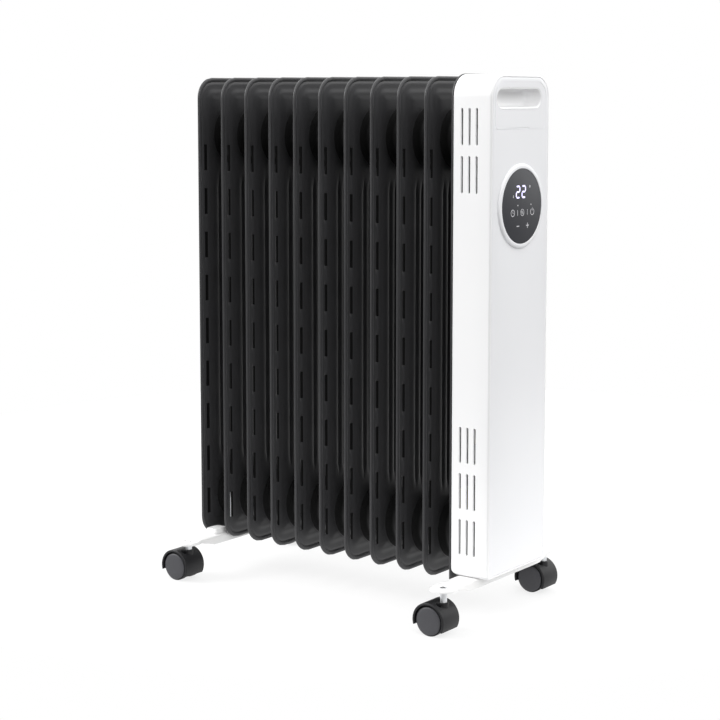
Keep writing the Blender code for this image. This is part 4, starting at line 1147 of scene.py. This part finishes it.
# Casters. Each has a nylon hood on a middle web, which swivels on its stem, and two plain
# nylon wheels on one steel axle, one on each side of the web.
HOOD_LOW_ANGLE = -30
HOOD_HIGH_ANGLE = 197
HOOD_STEPS = 56
WEB_HALF = 6.2 * MM
AXLE_HUB = 6 * MM
AXLE_STEPS = 32
BOSS_START = 12 * MM
BOSS_RADIUS = 5.8 * MM
NOTCH_RADIUS = 3.4 * MM
NOTCH_START = 13.5 * MM
NOTCH_STEPS = 32
NOTCH_AT = (-1.0 * MM, -8.7 * MM)
STEM_BORE = 4.3 * MM
AXLE_BORE = 2.3 * MM
ABOVE_HOOD = 60 * MM
PAST_WHEELS = 30 * MM

# Black glass-filled nylon, for the hoods and the treads: moulded dull, dark grey in the
# light, with a leathery grain of about 0.5 mm drawn at 0.9 mm. The filler keeps its shine low.
grain = (NOISE, 0.9 * MM, 2.0)
hood_nylon = new_finish("moulded_black_nylon", ("#151517", "#1A1A1C"), (NOISE, 14 * MM, 2.0),
                        {"IOR": 1.53, "Specular IOR Level": 0.3},
                        gloss=(0.42, 0.56, grain), bump=(0.35, 0.06 * MM, grain))

# Dark grey nylon: the caps of the wheels, a lighter batch than the treads and the hoods,
# scuffed a little duller.
scuffs = (NOISE, 5 * MM, 4.0)
wheel_nylon = new_finish("moulded_dark_grey_nylon", ("#323236", "#3B3B3F"), scuffs, {"IOR": 1.53},
                         gloss=(0.45, 0.6, scuffs), bump=(0.25, 0.04 * MM, (NOISE, 0.8 * MM, 2.0)))

stem_low, stem_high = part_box("stem_near_front")
axle_low, axle_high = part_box("axle_near_front")
wheel_low, wheel_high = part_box("wheel_near_front_b")
hood_low, hood_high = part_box("hood_near_front")
stem_x = (stem_low.x + stem_high.x) / 2
trail = stem_x - (axle_low.x + axle_high.x) / 2
wheel_radius = (wheel_high.z - wheel_low.z) / 2
hood_radius = hood_high.z - wheel_radius
hood_wall = 2.8 * MM
hood_half = (hood_high.y - hood_low.y) / 2
wheel_in = wheel_low.y - (stem_low.y + stem_high.y) / 2
wheel_out = wheel_high.y - (stem_low.y + stem_high.y) / 2


def hood_point(radius, angle, y):
    return (radius * math.cos(angle) - trail, y, wheel_radius + radius * math.sin(angle))


inner = hood_radius - hood_wall
hood_section = [(inner + 0.25 * MM, -hood_half), (hood_radius - 1.1 * MM, -hood_half),
                (hood_radius - 0.45 * MM, 0.3 * MM - hood_half),
                (hood_radius - 0.1 * MM, 0.75 * MM - hood_half), (hood_radius, 1.4 * MM - hood_half)]
hood_section += [(r, -y) for r, y in reversed(hood_section)]
hood_section += [(inner, hood_half - 0.25 * MM), (inner, 0.25 * MM - hood_half)]
turns = [math.radians(HOOD_LOW_ANGLE + (HOOD_HIGH_ANGLE - HOOD_LOW_ANGLE) * i / HOOD_STEPS)
         for i in range(HOOD_STEPS + 1)]
hood = bmesh.new()
add_skin(hood, [[hood_point(r, a, y) for r, y in hood_section] for a in turns])
web = bmesh.new()
web_line = arc((-trail, wheel_radius), inner + hood_wall / 2, HOOD_LOW_ANGLE + 4, HOOD_HIGH_ANGLE - 4, 40)
web_line += arc((-trail, wheel_radius), AXLE_HUB, HOOD_HIGH_ANGLE - 4, HOOD_LOW_ANGLE + 364, 14)
add_skin(web, [[(x, y, z) for x, z in web_line] for y in (-WEB_HALF, WEB_HALF)])
boss = bmesh.new()
add_turned(boss, [(0, wheel_radius + BOSS_START), (BOSS_RADIUS, wheel_radius + BOSS_START),
                  (BOSS_RADIUS, wheel_radius + hood_radius - 1.2 * MM),
                  (BOSS_RADIUS - 0.6 * MM, wheel_radius + hood_radius - 0.6 * MM),
                  (0, wheel_radius + hood_radius - 0.6 * MM)], (0, 0, 0), "Z", STEM_STEPS)
notch = round_cut(NOTCH_RADIUS, wheel_radius + NOTCH_START, ABOVE_HOOD, (*NOTCH_AT, 0), "Z", NOTCH_STEPS)
bore = round_cut(STEM_BORE, stem_low.z - 0.6 * MM, ABOVE_HOOD, (0, 0, 0), "Z", STEM_STEPS)
axle_hole = round_cut(AXLE_BORE, -PAST_WHEELS, PAST_WHEELS, (-trail, 0, wheel_radius), "Y", AXLE_STEPS)
hood_mesh = carved(hood, [notch, bore, axle_hole], [web, boss])

cap_turn = [(0, wheel_out), (6 * MM, wheel_out - 0.05 * MM), (11 * MM, wheel_out - 0.25 * MM),
            (14 * MM, wheel_out - 0.6 * MM), (15.6 * MM, wheel_out - 1.0 * MM),
            (16.2 * MM, wheel_out - 1.35 * MM), (16.5 * MM, wheel_out - 1.9 * MM),
            (16.5 * MM, wheel_out - 3.2 * MM), (0, wheel_out - 3.2 * MM)]
tyre_turn = [(0, wheel_out - 3.3 * MM), (16.8 * MM, wheel_out - 3.3 * MM), (16.95 * MM, wheel_out - 2.9 * MM),
             (17.4 * MM, wheel_out - 2.7 * MM), (17.8 * MM, wheel_out - 3.0 * MM),
             (wheel_radius, wheel_out - 3.7 * MM), (wheel_radius, wheel_in + 0.9 * MM),
             (wheel_radius - 0.3 * MM, wheel_in + 0.2 * MM),
             (wheel_radius - 0.8 * MM, wheel_in), (AXLE_BORE, wheel_in), (AXLE_BORE, wheel_out - 4.5 * MM),
             (0, wheel_out - 4.5 * MM)]
wheel_meshes = {}
for letter, sign in (("a", -1), ("b", 1)):
    for part, turn in (("cap", cap_turn), ("tyre", tyre_turn)):
        wheel = bmesh.new()
        add_turned(wheel, [(r, sign * y) for r, y in turn], (-trail, 0, wheel_radius), "Y")
        wheel_meshes[part + letter] = mesh_of(f"wheel_{part}_{letter}", wheel)

for name in casters:
    low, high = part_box(f"stem_{name}")
    at = ((low.x + high.x) / 2, (low.y + high.y) / 2, 0)
    shown_mesh(f"moulded_hood_{name}", hood_mesh, hood_nylon, f"caster_{name}",
               [f"hood_{name}"], at)
    finished(zinc, f"axle_{name}")
    for letter in "ab":
        node = f"wheel_{name}_{letter}"
        shown_mesh(f"tyre_{node}", wheel_meshes["tyre" + letter], hood_nylon, node, [node], at)
        shown_mesh(f"cap_{node}", wheel_meshes["cap" + letter], wheel_nylon, node, (), at)


bpy.context.view_layer.update()
low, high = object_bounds()
